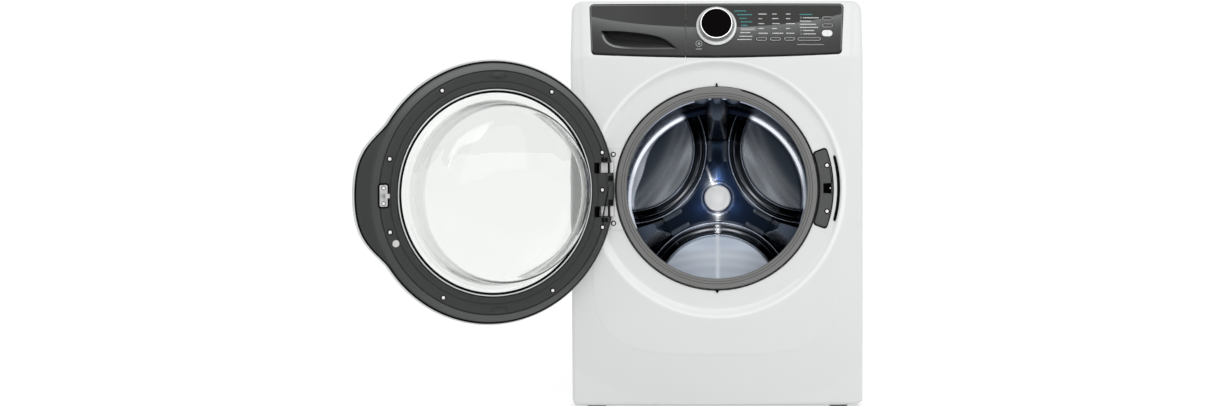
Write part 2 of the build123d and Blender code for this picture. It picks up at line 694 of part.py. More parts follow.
with BuildPart() as door_gasket:
    with BuildSketch(OPENING.offset(-SLEEVE_START)) as near_circle:
        Circle(OPENING_RADIUS - 0.3)
    with BuildSketch(DRUM.offset(SLEEVE_TURN)) as far_circle:
        Circle(SLEEVE_RADIUS + GASKET_WALL)
    loft([near_circle.sketch, far_circle.sketch])
    extrude(far_circle.sketch, amount=SLEEVE_END - SLEEVE_TURN)
    add(sleeve_inside.part, mode=Mode.SUBTRACT)
    with BuildSketch(OPENING.offset(-SLEEVE_START)):
        Circle(OPENING_RADIUS - GASKET_WALL)
    extrude(amount=GASKET_WALL + 1, both=True, mode=Mode.SUBTRACT)
    turn(
        OPENING_SECTION,
        OPENING_AXIS,
        [
            (GASKET_RADIUS, 0.2),
            (GASKET_RADIUS, 3.5),
            (225, 4.5),
            (GASKET_LIP_RADIUS, -1),
            (GASKET_LIP_RADIUS, -7),
            (217, -9),
            (222, -5),
            (OPENING_RADIUS - GASKET_WALL, -5),
            (OPENING_RADIUS - GASKET_WALL, -SLEEVE_START - 0.5),
            (OPENING_RADIUS - 0.3, -SLEEVE_START - 0.5),
            (OPENING_RADIUS - 0.3, 0.2),
        ],
    )
door_gasket.part.label = "door_gasket"
export_step(door_gasket.part, "parts/door_gasket.step")

CLAMP_WIRE = 1.1
with BuildPart() as gasket_clamp:
    with BuildSketch(OPENING_SECTION):
        with Locations((GASKET_RADIUS + CLAMP_WIRE + 0.1, CLAMP_WIRE + 0.2)):
            Circle(CLAMP_WIRE)
    revolve(axis=OPENING_AXIS)
gasket_clamp.part.label = "gasket_clamp"
export_step(gasket_clamp.part, "parts/gasket_clamp.step")

# ---------------------------------------------------------------- drum

with BuildPart() as drum_shell:
    outside = DRUM_RADIUS + DRUM_SHEET
    turn(
        DRUM_SECTION,
        DRUM_AXIS,
        [
            (DRUM_MOUTH_RADIUS, DRUM_FRONT + 6),
            (DRUM_MOUTH_RADIUS, DRUM_FRONT),
            (outside, DRUM_FRONT),
            (outside, DRUM_SHOULDER),
            (DRUM_RIM_RADIUS + DRUM_SHEET, DRUM_BACK - 1),
            (DRUM_RIM_RADIUS + DRUM_SHEET, DRUM_BACK + 3),
            (DRUM_RIM_RADIUS, DRUM_BACK + 3),
            (DRUM_RIM_RADIUS, DRUM_BACK - 2),
            (DRUM_RADIUS, DRUM_SHOULDER - 1),
            (DRUM_RADIUS, DRUM_FRONT + DRUM_SHEET),
            (DRUM_MOUTH_RADIUS + DRUM_SHEET, DRUM_FRONT + DRUM_SHEET),
            (DRUM_MOUTH_RADIUS + DRUM_SHEET, DRUM_FRONT + 6),
        ],
    )
drum_shell.part.label = "drum_shell"
export_step(drum_shell.part, "parts/drum_shell.step")

LENS_RADIUS, LENS_OFFSET, LENS_HEIGHT = 200.0, 66.0, 8.0
HUB_PAN_RADIUS, HUB_PAN_FRONT = 60.0, 466.0
with BuildPart() as drum_back:
    turn(
        DRUM_SECTION,
        DRUM_AXIS,
        [
            (0, HUB_PAN_FRONT),
            (HUB_PAN_RADIUS - 8, HUB_PAN_FRONT),
            (HUB_PAN_RADIUS + 6, DRUM_BACK - DRUM_SHEET),
            (DRUM_RIM_RADIUS - 0.2, DRUM_BACK - DRUM_SHEET),
            (DRUM_RIM_RADIUS - 0.2, DRUM_BACK),
            (HUB_PAN_RADIUS + 5, DRUM_BACK),
            (HUB_PAN_RADIUS - 9, HUB_PAN_FRONT + DRUM_SHEET),
            (0, HUB_PAN_FRONT + DRUM_SHEET),
        ],
    )
    # three raised lenses between the lifters
    for angle in BAFFLE_ANGLES:
        with BuildSketch(DRUM.offset(DRUM_BACK - DRUM_SHEET)):
            Circle(DRUM_RIM_RADIUS - 12)
            with PolarLocations(LENS_OFFSET + LENS_RADIUS, 1, start_angle=angle + 60):
                Circle(LENS_RADIUS, mode=Mode.INTERSECT)
        extrude(amount=-LENS_HEIGHT)
drum_back.part.label = "drum_back"
export_step(drum_back.part, "parts/drum_back.step")

BAFFLE_START, BAFFLE_END = 105.0, 455.0
BAFFLE_TIP_START, BAFFLE_TIP_END = 172.0, 156.0  # radius of the tip at the front and the back


def baffle_outline(along, tip, tip_half, foot_half):
    """A lifter's section across the drum, pointing along its own x axis."""
    with BuildSketch(DRUM.offset(along)) as section:
        with BuildLine():
            Polyline(
                (tip, -tip_half),
                (tip, tip_half),
                (DRUM_RADIUS + 10, foot_half),
                (DRUM_RADIUS + 10, -foot_half),
                close=True,
            )
        make_face()
    return section.sketch


with BuildPart() as lifter:
    loft(
        [
            baffle_outline(BAFFLE_START, BAFFLE_TIP_START, 9, 30),
            baffle_outline(BAFFLE_END, BAFFLE_TIP_END, 24, 34),
        ],
        ruled=True,
    )
    turn(
        DRUM_SECTION,
        DRUM_AXIS,
        [
            (0, BAFFLE_START - 5),
            (DRUM_RADIUS - 0.2, BAFFLE_START - 5),
            (DRUM_RADIUS - 0.2, DRUM_SHOULDER - 1.5),
            (DRUM_RIM_RADIUS - 0.4, DRUM_BACK - 2.5),
            (0, DRUM_BACK - 2.5),
        ],
        mode=Mode.INTERSECT,
    )

with BuildPart() as drum_baffles:
    for angle in BAFFLE_ANGLES:
        add(lifter.part.rotate(DRUM_AXIS, angle))
drum_baffles.part.label = "drum_baffles"
export_step(drum_baffles.part, "parts/drum_baffles.step")

HUB_CAP_RADIUS = 36.0
with BuildPart() as drum_hub_cap:
    turn(
        DRUM_SECTION,
        DRUM_AXIS,
        [
            (0, HUB_PAN_FRONT - 0.1),
            (HUB_CAP_RADIUS, HUB_PAN_FRONT - 0.1),
            (HUB_CAP_RADIUS, HUB_PAN_FRONT - 5),
            (HUB_CAP_RADIUS - 3, HUB_PAN_FRONT - 7),
            (0, HUB_PAN_FRONT - 9),
        ],
    )
drum_hub_cap.part.label = "drum_hub_cap"
export_step(drum_hub_cap.part, "parts/drum_hub_cap.step")

with BuildPart() as drum_spider:
    with BuildSketch(DRUM.offset(DRUM_BACK + 4)):
        Circle(45)
        for angle in BAFFLE_ANGLES:
            with PolarLocations(145, 1, start_angle=angle):
                Rectangle(230, 30)
        Circle(SHAFT_RADIUS + 0.02, mode=Mode.SUBTRACT)
        Circle(DRUM_RADIUS - 2, mode=Mode.INTERSECT)
    extrude(amount=24)
drum_spider.part.label = "drum_spider"
export_step(drum_spider.part, "parts/drum_spider.step")

with BuildPart() as drum_shaft:
    with BuildSketch(DRUM.offset(DRUM_BACK + 4)):
        Circle(SHAFT_RADIUS)
    extrude(amount=PULLEY_BACK + PULLEY_WIDTH + 4 - DRUM_BACK - 4)
drum_shaft.part.label = "drum_shaft"
export_step(drum_shaft.part, "parts/drum_shaft.step")

with BuildPart() as drum_pulley:
    pulley_middle = PULLEY_BACK + PULLEY_WIDTH / 2
    turn(
        DRUM_SECTION,
        DRUM_AXIS,
        [
            (SHAFT_RADIUS + 0.02, PULLEY_BACK),
            (28, PULLEY_BACK),
            (28, pulley_middle - 3),
            (PULLEY_RADIUS - 8, pulley_middle - 3),
            (PULLEY_RADIUS - 8, PULLEY_BACK),
            (PULLEY_RADIUS, PULLEY_BACK),
            (PULLEY_RADIUS, PULLEY_BACK + PULLEY_WIDTH),
            (PULLEY_RADIUS - 8, PULLEY_BACK + PULLEY_WIDTH),
            (PULLEY_RADIUS - 8, pulley_middle + 3),
            (28, pulley_middle + 3),
            (28, PULLEY_BACK + PULLEY_WIDTH),
            (SHAFT_RADIUS + 0.02, PULLEY_BACK + PULLEY_WIDTH),
        ],
    )
    with BuildSketch(DRUM.offset(pulley_middle)):
        with PolarLocations(82, 6):
            Circle(26)
    extrude(amount=6, both=True, mode=Mode.SUBTRACT)
drum_pulley.part.label = "drum_pulley"
export_step(drum_pulley.part, "parts/drum_pulley.step")

# ---------------------------------------------------------------- drive

MOTOR_START, MOTOR_END = 440.0, 570.0
MOTOR_SHAFT_RADIUS = 6.0
with BuildPart() as motor:
    with BuildSketch(DRUM.offset(MOTOR_START)):
        with Locations((MOTOR_X, MOTOR_DROP)):
            Circle(MOTOR_RADIUS)
    extrude(amount=MOTOR_END - MOTOR_START)
    with BuildSketch(DRUM.offset(MOTOR_START + 20)):
        with Locations((MOTOR_X, MOTOR_DROP)):
            with PolarLocations(MOTOR_RADIUS, 24):
                Rectangle(6, 4)
    extrude(amount=MOTOR_END - MOTOR_START - 40, mode=Mode.SUBTRACT)
    with BuildSketch(DRUM.offset(MOTOR_END)):
        with Locations((MOTOR_X, MOTOR_DROP)):
            Circle(MOTOR_SHAFT_RADIUS + RUNNING_FIT)
    extrude(amount=-40, mode=Mode.SUBTRACT)
motor.part.label = "motor"
export_step(motor.part, "parts/motor.step")

with BuildPart() as motor_pulley:
    with BuildSketch(DRUM.offset(MOTOR_END - 38)):
        with Locations((MOTOR_X, MOTOR_DROP)):
            Circle(MOTOR_SHAFT_RADIUS)
    extrude(amount=PULLEY_BACK - MOTOR_END + 38)
    with BuildSketch(DRUM.offset(PULLEY_BACK)):
        with Locations((MOTOR_X, MOTOR_DROP)):
            Circle(MOTOR_PULLEY_RADIUS)
    extrude(amount=PULLEY_WIDTH)
motor_pulley.part.label = "motor_pulley"
export_step(motor_pulley.part, "parts/motor_pulley.step")

BELT_GAP, BELT_THICK, BELT_WIDTH = 0.4, 3.0, 14.0


def belt_loop(grow):
    """The loop round both pulleys, grow outside their rims."""
    with BuildSketch(DRUM.offset(PULLEY_BACK + (PULLEY_WIDTH - BELT_WIDTH) / 2)) as loop:
        Circle(PULLEY_RADIUS + grow)
        with Locations((MOTOR_X, MOTOR_DROP)):
            Circle(MOTOR_PULLEY_RADIUS + grow)
        make_hull()
    return loop.sketch


with BuildPart() as drive_belt:
    extrude(belt_loop(BELT_GAP + BELT_THICK), amount=BELT_WIDTH)
    extrude(belt_loop(BELT_GAP), amount=BELT_WIDTH, mode=Mode.SUBTRACT)
drive_belt.part.label = "drive_belt"
export_step(drive_belt.part, "parts/drive_belt.step")

# ---------------------------------------------------------------- suspension

with BuildPart() as suspension_springs:
    pitch = (HANGER_Z - 6 - SPRING_LOW) / SPRING_TURNS
    for spring_x in (-SPRING_X, SPRING_X):
        spring = Plane(origin=(spring_x, HANGER_Y, SPRING_LOW), x_dir=(1, 0, 0), z_dir=(0, -1, 0))
        with BuildSketch(spring):
            with BuildLine():
                Polyline(
                    (10, 0), (14, 0), *[
                        point
                        for turn_number in range(SPRING_TURNS)
                        for point in (
                            (16, pitch * (turn_number + 0.5)),
                            (14, pitch * (turn_number + 1)),
                        )
                    ], (10, pitch * SPRING_TURNS), close=True,
                )
            make_face()
        revolve(axis=Axis((spring_x, HANGER_Y, 0), (0, 0, 1)))
suspension_springs.part.label = "suspension_springs"
export_step(suspension_springs.part, "parts/suspension_springs.step")

DAMPERS = [(-165.0, -130.0, 248.0), (165.0, -130.0, 248.0), (-165.0, 20.0, 236.0), (165.0, 20.0, 236.0)]
with BuildPart() as dampers:
    for damper_x, damper_y, damper_top in DAMPERS:
        with BuildSketch(Plane.XY.offset(BASE_Z + 2.5)):
            with Locations((damper_x, damper_y)):
                Circle(14)
        extrude(amount=120)
        with BuildSketch(Plane.XY.offset(BASE_Z + 122.5)):
            with Locations((damper_x, damper_y)):
                Circle(6)
        extrude(amount=damper_top - BASE_Z - 122.5)
dampers.part.label = "dampers"
export_step(dampers.part, "parts/dampers.step")

# ---------------------------------------------------------------- water and power

PUMP_Z = 82.0
with BuildPart() as drain_pump:
    with Locations((*SUMP_AT, PUMP_Z)):
        Cylinder(radius=40, height=46)
    with Locations((*SUMP_AT, PUMP_Z + 33)):
        Cylinder(radius=17, height=20)
    with Locations((*SUMP_AT, PUMP_Z - 43)):
        Cylinder(radius=28, height=40)
    with BuildSketch(Plane.YZ.offset(38)):
        with Locations((SUMP_AT[1], PUMP_Z)):
            Circle(DRAIN_RADIUS)
    extrude(amount=22)
drain_pump.part.label = "drain_pump"
export_step(drain_pump.part, "parts/drain_pump.step")

DRAIN_ROUTE = [
    (60, SUMP_AT[1], PUMP_Z),
    (255, SUMP_AT[1], PUMP_Z),
    (300, -120, PUMP_Z),
    (300, 315, PUMP_Z + 20),
    (DRAIN_X, 345, 300),
    (DRAIN_X, 340, DRAIN_Z),
    (DRAIN_X, BACK_Y - 1, DRAIN_Z),
]
with BuildPart() as hoses:
    with BuildLine() as drain_path:
        FilletPolyline(*DRAIN_ROUTE, radius=14)
    with BuildSketch(Plane(origin=drain_path.line @ 0, z_dir=drain_path.line % 0)):
        Circle(DRAIN_RADIUS + 2)
    sweep(path=drain_path.line)
    # the sump hose
    with Locations((*SUMP_AT, 162)):
        Cylinder(radius=21, height=76)
        Cylinder(radius=18, height=76, mode=Mode.SUBTRACT)
    # the hose from the dispenser down to the tub
    with Locations((-180, -180, 792)):
        Cylinder(radius=18, height=76)
        Cylinder(radius=15, height=76, mode=Mode.SUBTRACT)
    # the two hoses from the inlet valves forward to the dispenser
    for hose_x, (_, inlet_z) in zip(INLET_HOSES, INLETS):
        with BuildSketch(Plane.XZ.offset(87)):
            with Locations((hose_x, inlet_z)):
                Circle(8)
        extrude(amount=-405)
hoses.part.label = "hoses"
export_step(hoses.part, "parts/hoses.step")

INLET_REACH = 18.0
with BuildPart() as inlet_valves:
    block((-310, 318, 865), (-180, BACK_Y, 905))
    for inlet_x, inlet_z in INLETS:
        with BuildSketch(Plane.XZ.offset(-BACK_Y)):
            with Locations((inlet_x, inlet_z)):
                Circle(INLET_THREAD_RADIUS)
        extrude(amount=-INLET_REACH)
        with BuildSketch(Plane.XZ.offset(-BACK_Y + 20)):
            with Locations((inlet_x, inlet_z)):
                Circle(9)
        extrude(amount=-INLET_REACH - 20, mode=Mode.SUBTRACT)
inlet_valves.part.label = "inlet_valves"
export_step(inlet_valves.part, "parts/inlet_valves.step")

with BuildPart() as rear_fittings:
    # the drain spigot
    with BuildSketch(Plane.XZ.offset(-BACK_Y - SHEET)):
        with Locations((DRAIN_X, DRAIN_Z)):
            Circle(DRAIN_RADIUS + 8)
    extrude(amount=-3)
    with BuildSketch(Plane.XZ.offset(-BACK_Y + 0.5)):
        with Locations((DRAIN_X, DRAIN_Z)):
            Circle(DRAIN_RADIUS)
    extrude(amount=-22)
    # the cord gland
    with BuildSketch(Plane.XZ.offset(-BACK_Y - SHEET)):
        with Locations((GLAND_X, GLAND_Z)):
            Circle(14)
    extrude(amount=-4)
    with BuildSketch(Plane.XZ.offset(-BACK_Y + 8)):
        with Locations((GLAND_X, GLAND_Z)):
            Circle(8.8)
    extrude(amount=-22)
    with BuildSketch(Plane.XZ.offset(-BACK_Y + 9)):
        with Locations((GLAND_X, GLAND_Z)):
            Circle(4.2)
        with Locations((DRAIN_X, DRAIN_Z)):
            Circle(8.5)
    extrude(amount=-40, mode=Mode.SUBTRACT)
rear_fittings.part.label = "rear_fittings"
export_step(rear_fittings.part, "parts/rear_fittings.step")

# ---------------------------------------------------------------- latch side of the opening

CLEAR_OF_GASKET = 241.0
LATCH_OUTER, LATCH_HALF_ANGLE, LATCH_THICK = 273.5, 20.6, 3.2
with BuildPart() as latch_cover:
    extrude(arc_band(CLEAR_OF_GASKET, LATCH_OUTER, LATCH_HALF_ANGLE, 7.0), amount=LATCH_THICK)
    with BuildSketch(OPENING):
        with Locations((LATCH_SLOT[0], 0)):
            Rectangle(LATCH_SLOT[1] - 1, LATCH_SLOT[2] - 1)
        with Locations(*LATCH_SCREWS):
            Circle(SCREW_HOLE)
    extrude(amount=LATCH_THICK, mode=Mode.SUBTRACT)
latch_cover.part.label = "latch_cover"
export_step(latch_cover.part, "parts/latch_cover.step")

with BuildPart() as door_lock:
    with BuildSketch(OPENING.offset(-SHEET - 4)):
        with Locations((LATCH_SLOT[0] + 1, 0)):
            Rectangle(27, 120)
    extrude(amount=-30)
    with BuildSketch(OPENING.offset(-SHEET - 4)):
        with Locations((LATCH_SLOT[0], 0)):
            Rectangle(LATCH_SLOT[1], LATCH_SLOT[2])
    extrude(amount=-26, mode=Mode.SUBTRACT)
door_lock.part.label = "door_lock"
export_step(door_lock.part, "parts/door_lock.step")

with BuildPart() as slit_liner:
    extrude(arc_band(SLIT_INNER, SLIT_OUTER, SLIT_HALF_ANGLE), amount=0.4)
    extrude(arc_band(SLIT_INNER, SLIT_OUTER, SLIT_HALF_ANGLE), amount=-4)
slit_liner.part.label = "slit_liner"
export_step(slit_liner.part, "parts/slit_liner.step")

# ---------------------------------------------------------------- hinge

BRACKET_LEFT, BRACKET_HALF, BRACKET_THICK = -259.0, 97.0, 2.5
ARM_RIGHT, ARM_PLATE = -240.5, 6.0
with BuildPart() as hinge_bracket:
    with BuildSketch(OPENING) as bracket_outline:
        with Locations((BRACKET_LEFT + 20, 0)):
            Rectangle(40, 2 * BRACKET_HALF)
        Circle(CLEAR_OF_GASKET, mode=Mode.SUBTRACT)
        fillet(bracket_outline.vertices().sort_by(Axis.X)[:2], 8)
    extrude(amount=BRACKET_THICK)
    for arm_z in (OPENING_Z - HINGE_ARM_Z, OPENING_Z + HINGE_ARM_Z):
        with BuildSketch(Plane.XY.offset(arm_z - HINGE_ARM_HEIGHT / 2)):
            with Locations((HINGE_X, HINGE_Y)):
                Circle(6.5)
            with BuildLine():
                Polyline(
                    (HINGE_X, HINGE_Y - 6),
                    (ARM_RIGHT, HINGE_Y - 6),
                    (ARM_RIGHT, FLOOR_Y - 1),
                    (ARM_RIGHT - ARM_PLATE, FLOOR_Y - 1),
                    (ARM_RIGHT - ARM_PLATE, HINGE_Y),
                    (HINGE_X, HINGE_Y),
                    close=True,
                )
            make_face()
        extrude(amount=HINGE_ARM_HEIGHT)
    with BuildSketch(OPENING):
        with Locations(*BRACKET_SCREWS):
            Circle(SCREW_HOLE)
    extrude(amount=4, mode=Mode.SUBTRACT)
    with BuildSketch(Plane.XY.offset(OPENING_Z - 80)):
        with Locations((HINGE_X, HINGE_Y)):
            Circle(HINGE_PIN_RADIUS + 0.02)
    extrude(amount=160, mode=Mode.SUBTRACT)
hinge_bracket.part.label = "hinge_bracket"
export_step(hinge_bracket.part, "parts/hinge_bracket.step")

PIN_HALF = 18.0
with BuildPart() as hinge_pins:
    for arm_z in (OPENING_Z - HINGE_ARM_Z, OPENING_Z + HINGE_ARM_Z):
        with BuildSketch(Plane.XY.offset(arm_z - PIN_HALF)):
            with Locations((HINGE_X, HINGE_Y)):
                Circle(HINGE_PIN_RADIUS)
        extrude(amount=2 * PIN_HALF)
hinge_pins.part.label = "hinge_pins"
export_step(hinge_pins.part, "parts/hinge_pins.step")

SCREW_HEAD_RADIUS, SCREW_HEAD = 4.2, 2.0
with BuildPart() as panel_screws:
    for screws, seat in ((LATCH_SCREWS, LATCH_THICK), (BRACKET_SCREWS, BRACKET_THICK)):
        with BuildSketch(OPENING.offset(seat)):
            with Locations(*screws):
                Circle(SCREW_HEAD_RADIUS)
        extrude(amount=SCREW_HEAD)
        with BuildSketch(OPENING.offset(seat)):
            with Locations(*screws):
                Circle(2)
        extrude(amount=-seat - SHEET)
panel_screws.part.label = "panel_screws"
export_step(panel_screws.part, "parts/panel_screws.step")

# ---------------------------------------------------------------- door

ARM_SLOT_HALF = HINGE_ARM_HEIGHT / 2 + 1.0


def arm_slots():
    """Cut the room that the two fixed hinge arms need as the door swings."""
    for left, right, depth in ((HINGE_X - 9, HINGE_X + 32, 37.5), (HINGE_X - 34, HINGE_X - 9, 26.0)):
        with BuildSketch(DOOR) as slots:
            with Locations(((left + right) / 2, -HINGE_ARM_Z), ((left + right) / 2, HINGE_ARM_Z)):
                Rectangle(right - left, 2 * ARM_SLOT_HALF)
        extrude(slots.sketch, amount=depth, mode=Mode.SUBTRACT)


def handle_outline(inner, height):
    """The grip that swells from the door's free side, outside the radius inner."""
    half = math.radians(HANDLE_ANGLE)
    foot_x, foot_y = DOOR_RIM_RADIUS * math.cos(half), DOOR_RIM_RADIUS * math.sin(half)
    with BuildSketch(DOOR.offset(height)) as grip:
        with BuildLine():
            Spline(
                (foot_x, foot_y),
                (HANDLE_REACH - 24, 0.62 * foot_y),
                (HANDLE_REACH, 0),
                (HANDLE_REACH - 24, -0.62 * foot_y),
                (foot_x, -foot_y),
                tangents=((math.sin(half), -math.cos(half)), (-math.sin(half), -math.cos(half))),
            )
            Line((foot_x, -foot_y), (0, 0))
            Line((0, 0), (foot_x, foot_y))
        make_face()
        Circle(inner, mode=Mode.SUBTRACT)
    return grip.sketch


with BuildPart() as door_inner_frame:
    turn(
        DOOR_SECTION,
        DOOR_AXIS,
        [
            (GLASS_RADIUS + 0.5, DOOR_FACE),
            (DOOR_FRAME_RADIUS, DOOR_FACE),
            (DOOR_RIM_RADIUS - 0.5, DOOR_RIM_HEIGHT - 1),
            (DOOR_RIM_RADIUS - 0.5, DOOR_RIM_HEIGHT),
            (DOOR_RIM_RADIUS - 4, DOOR_RIM_HEIGHT),
            (DOOR_FRAME_RADIUS - 1.3, DOOR_FACE + 3),
            (GLASS_RADIUS + 3.5, DOOR_FACE + 3),
            (GLASS_RADIUS + 3.5, 22),
            (GLASS_RADIUS + 0.5, 22),
        ],
    )
    extrude(handle_outline(DOOR_RIM_RADIUS - 3, DOOR_RIM_HEIGHT - 3), amount=3)
    arm_slots()
door_inner_frame.part.label = "door_inner_frame"
export_step(door_inner_frame.part, "parts/door_inner_frame.step")

DOOR_SHELL = [
    (DOOR_RIM_RADIUS, DOOR_RIM_HEIGHT + 0.2),
    (291, 26),
    (286, 36),
    (276, 44),
    (258, 51),
    (238.3, 57),
    (238.3, 50.5),
    (241, 50.5),
    (241, 53.4),
    (257, 48.3),
    (274.3, 41.8),
    (283.8, 34.4),
    (288.5, 25.4),
    (DOOR_RIM_RADIUS - 2.7, DOOR_RIM_HEIGHT + 0.2),
]
with BuildPart() as door_outer_shell:
    extrude(handle_outline(DOOR_RIM_RADIUS - 6, DOOR_RIM_HEIGHT + 0.2), amount=16)
    turn(DOOR_SECTION, DOOR_AXIS, DOOR_SHELL)
    arm_slots()
door_outer_shell.part.label = "door_outer_shell"
export_step(door_outer_shell.part, "parts/door_outer_shell.step")

with BuildPart() as door_window:
    with BuildSketch(DOOR_SECTION):
        with BuildLine():
            TangentArc((0, 68), (237.8, 54.5), tangent=(1, 0))
            Line((237.8, 54.5), (237.8, 50.5))
            TangentArc((0, 64), (237.8, 50.5), tangent=(1, 0))
            Line((0, 64), (0, 68))
        make_face()
    revolve(axis=DOOR_AXIS)
door_window.part.label = "door_window"
export_step(door_window.part, "parts/door_window.step")

GLASS_OUTSIDE = [(206, 2), (202, -25), (195, -62), (178, -90), (140, -102), (0, -106)]
GLASS_INSIDE = [(0, -101), (138, -97), (173, -86), (190, -61), (197, -25), (200, 12)]
with BuildPart() as door_glass:
    turn(
        DOOR_SECTION,
        DOOR_AXIS,
        [(GLASS_RADIUS, 12), (GLASS_RADIUS, 7), (213, 6.5), *GLASS_OUTSIDE, *GLASS_INSIDE],
    )
door_glass.part.label = "door_glass"
export_step(door_glass.part, "parts/door_glass.step")

DOOR_SCREW_ANGLES = (17.5, -17.5, 60.0, -60.0, 120.0, -120.0)
DOOR_SCREWS = [
    (DOOR_SCREW_RADIUS * math.cos(math.radians(a)), DOOR_SCREW_RADIUS * math.sin(math.radians(a)))
    for a in DOOR_SCREW_ANGLES
] + [(-256.5, -86.5), (-256.5, 0.0), (-256.5, 86.5)]
with BuildPart() as door_screws:
    with BuildSketch(DOOR.offset(DOOR_FACE - 0.1)):
        with Locations(*DOOR_SCREWS):
            Circle(SCREW_HEAD_RADIUS)
    extrude(amount=-1.6)
door_screws.part.label = "door_screws"
export_step(door_screws.part, "parts/door_screws.step")

STRIKE_X = 262.0
with BuildPart() as door_strike:
    with BuildSketch(DOOR.offset(DOOR_FACE - 0.1)):
        with Locations((STRIKE_X, 0)):
            RectangleRounded(21, 50, 5)
    extrude(amount=-1.6)
    with BuildSketch(DOOR.offset(DOOR_FACE - 0.1)):
        with Locations((STRIKE_X, 0)):
            Rectangle(5, 9)
    extrude(amount=-21)
    with BuildSketch(DOOR.offset(-11)):
        with Locations((STRIKE_X - 2.5, 0)):
            Rectangle(9, 9)
    extrude(amount=-4.6)
door_strike.part.label = "door_strike"
export_step(door_strike.part, "parts/door_strike.step")

BUMPER_AT = (235.5, -103.0)
with BuildPart() as door_bumper:
    with BuildSketch(DOOR.offset(DOOR_FACE - 0.1)):
        with Locations(BUMPER_AT):
            Circle(8.0)
    extrude(amount=-2.4, taper=20)
door_bumper.part.label = "door_bumper"
export_step(door_bumper.part, "parts/door_bumper.step")

LEAF_RIGHT, LEAF_HALF, LEAF_Z, EAR, EAR_GAP = -238.0, 67.4, 38.5, 4.0, 1.4
with BuildPart() as door_hinge_leaf:
    with BuildSketch(DOOR.offset(LEAF_Z)):
        with Locations(((HINGE_X + 6 + LEAF_RIGHT) / 2, 0)):
            Rectangle(LEAF_RIGHT - HINGE_X - 6, 2 * LEAF_HALF)
    extrude(amount=2.5)
    ear_start = HINGE_ARM_HEIGHT / 2 + EAR_GAP
    ear_lows = [
        middle + low
        for middle in (-HINGE_ARM_Z, HINGE_ARM_Z)
        for low in (-ear_start - EAR, ear_start)
    ]
    for ear_low in ear_lows:
        ear_plane = Plane(
            origin=DOOR.from_local_coords((0, ear_low, 0)),
            x_dir=DOOR_X_DIR,
            z_dir=(0, 0, -1),
        )
        with BuildSketch(ear_plane):
            with Locations((HINGE_X, 30)):
                Circle(5.5)
            with Locations((HINGE_X + 7, (30 + LEAF_Z) / 2 + 0.5)):
                Rectangle(10, LEAF_Z - 29)
            with Locations((HINGE_X, 30)):
                Circle(HINGE_PIN_RADIUS + RUNNING_FIT, mode=Mode.SUBTRACT)
        extrude(amount=-EAR)
door_hinge_leaf.part.label = "door_hinge_leaf"
export_step(door_hinge_leaf.part, "parts/door_hinge_leaf.step")
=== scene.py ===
"""A front load washing machine with its door open: surfaces, finishes, light and camera."""

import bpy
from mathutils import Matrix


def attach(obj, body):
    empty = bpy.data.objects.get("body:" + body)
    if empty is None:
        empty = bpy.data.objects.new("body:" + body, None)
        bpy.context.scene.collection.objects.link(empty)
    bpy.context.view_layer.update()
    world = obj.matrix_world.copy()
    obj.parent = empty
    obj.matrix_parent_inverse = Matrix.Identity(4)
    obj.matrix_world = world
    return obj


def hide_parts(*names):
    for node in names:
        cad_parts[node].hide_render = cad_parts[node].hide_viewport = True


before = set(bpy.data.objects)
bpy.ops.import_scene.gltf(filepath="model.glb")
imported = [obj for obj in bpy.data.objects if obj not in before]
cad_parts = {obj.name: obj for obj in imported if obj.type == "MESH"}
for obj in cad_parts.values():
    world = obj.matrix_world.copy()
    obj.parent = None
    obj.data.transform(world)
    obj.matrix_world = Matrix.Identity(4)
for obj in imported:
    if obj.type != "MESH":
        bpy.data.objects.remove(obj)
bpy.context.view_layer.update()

import logging
import math
from dataclasses import dataclass
from enum import Enum

import bpy
import numpy as np
from mathutils import Vector

log = logging.getLogger("washer")

Array = np.ndarray
Pair = tuple[float, float]
Socket = bpy.types.NodeSocket
Point = tuple[float, float, float]
Colour = tuple[int, int, int]

MM = 0.001
TAU = 2 * math.pi


# ---- places


@dataclass(frozen=True)
class Placement:
    """A flat in the machine, in metres: its origin, unit vectors across and up it, and one out of it."""

    origin: Point
    across: Point
    up: Point
    out: Point

    def axes(self) -> Array:
        """The three directions, one a row."""
        return np.array([self.across, self.up, self.out], float)

    def place(self, a: Array, b: Array, h: Array | float = 0.0) -> Array:
        """Points at distances a across, b up and h out; their last axis is x, y, z."""
        return np.array(self.origin) + np.stack(np.broadcast_arrays(a, b, h), -1) @ self.axes()

    def local(self, points: Array) -> Array:
        """Distances across, up and out of the machine's points, one point a row."""
        return (points - np.array(self.origin)) @ self.axes().T

    def moved(self, a: float, b: float, h: float = 0.0) -> "Placement":
        """The same directions with the origin moved by a, b and h."""
        return Placement(tuple(self.place(a, b, h)), self.across, self.up, self.out)


OPENING_CENTRE = (0.0, -0.360, 0.525)
DRUM_TILT = math.radians(5.5)
DOOR_ANGLE = math.radians(-148.75)
HINGE = (-0.268, -0.390)


def door_placement(side: int = 1) -> Placement:
    """The door's frame at its open stop, turned about the hinge; side -1 is seen from inside."""
    c, s = math.cos(DOOR_ANGLE), math.sin(DOOR_ANGLE)
    dx, dy = -HINGE[0], OPENING_CENTRE[1] - HINGE[1]
    origin = (HINGE[0] + c * dx - s * dy, HINGE[1] + s * dx + c * dy, OPENING_CENTRE[2])
    return Placement(origin, (c, s, 0.0), (0.0, 0.0, 1.0), (side * s, -side * c, 0.0))


OPENING = Placement(OPENING_CENTRE, (1, 0, 0), (0, 0, 1), (0, -1, 0))
DRUM = Placement(
    OPENING_CENTRE,
    (1, 0, 0),
    (0, math.sin(DRUM_TILT), math.cos(DRUM_TILT)),
    (0, math.cos(DRUM_TILT), -math.sin(DRUM_TILT)),
)
DOOR = door_placement()
DOOR_INSIDE = door_placement(-1)
FRONT = (0, -1, 0)


# ---- shapes


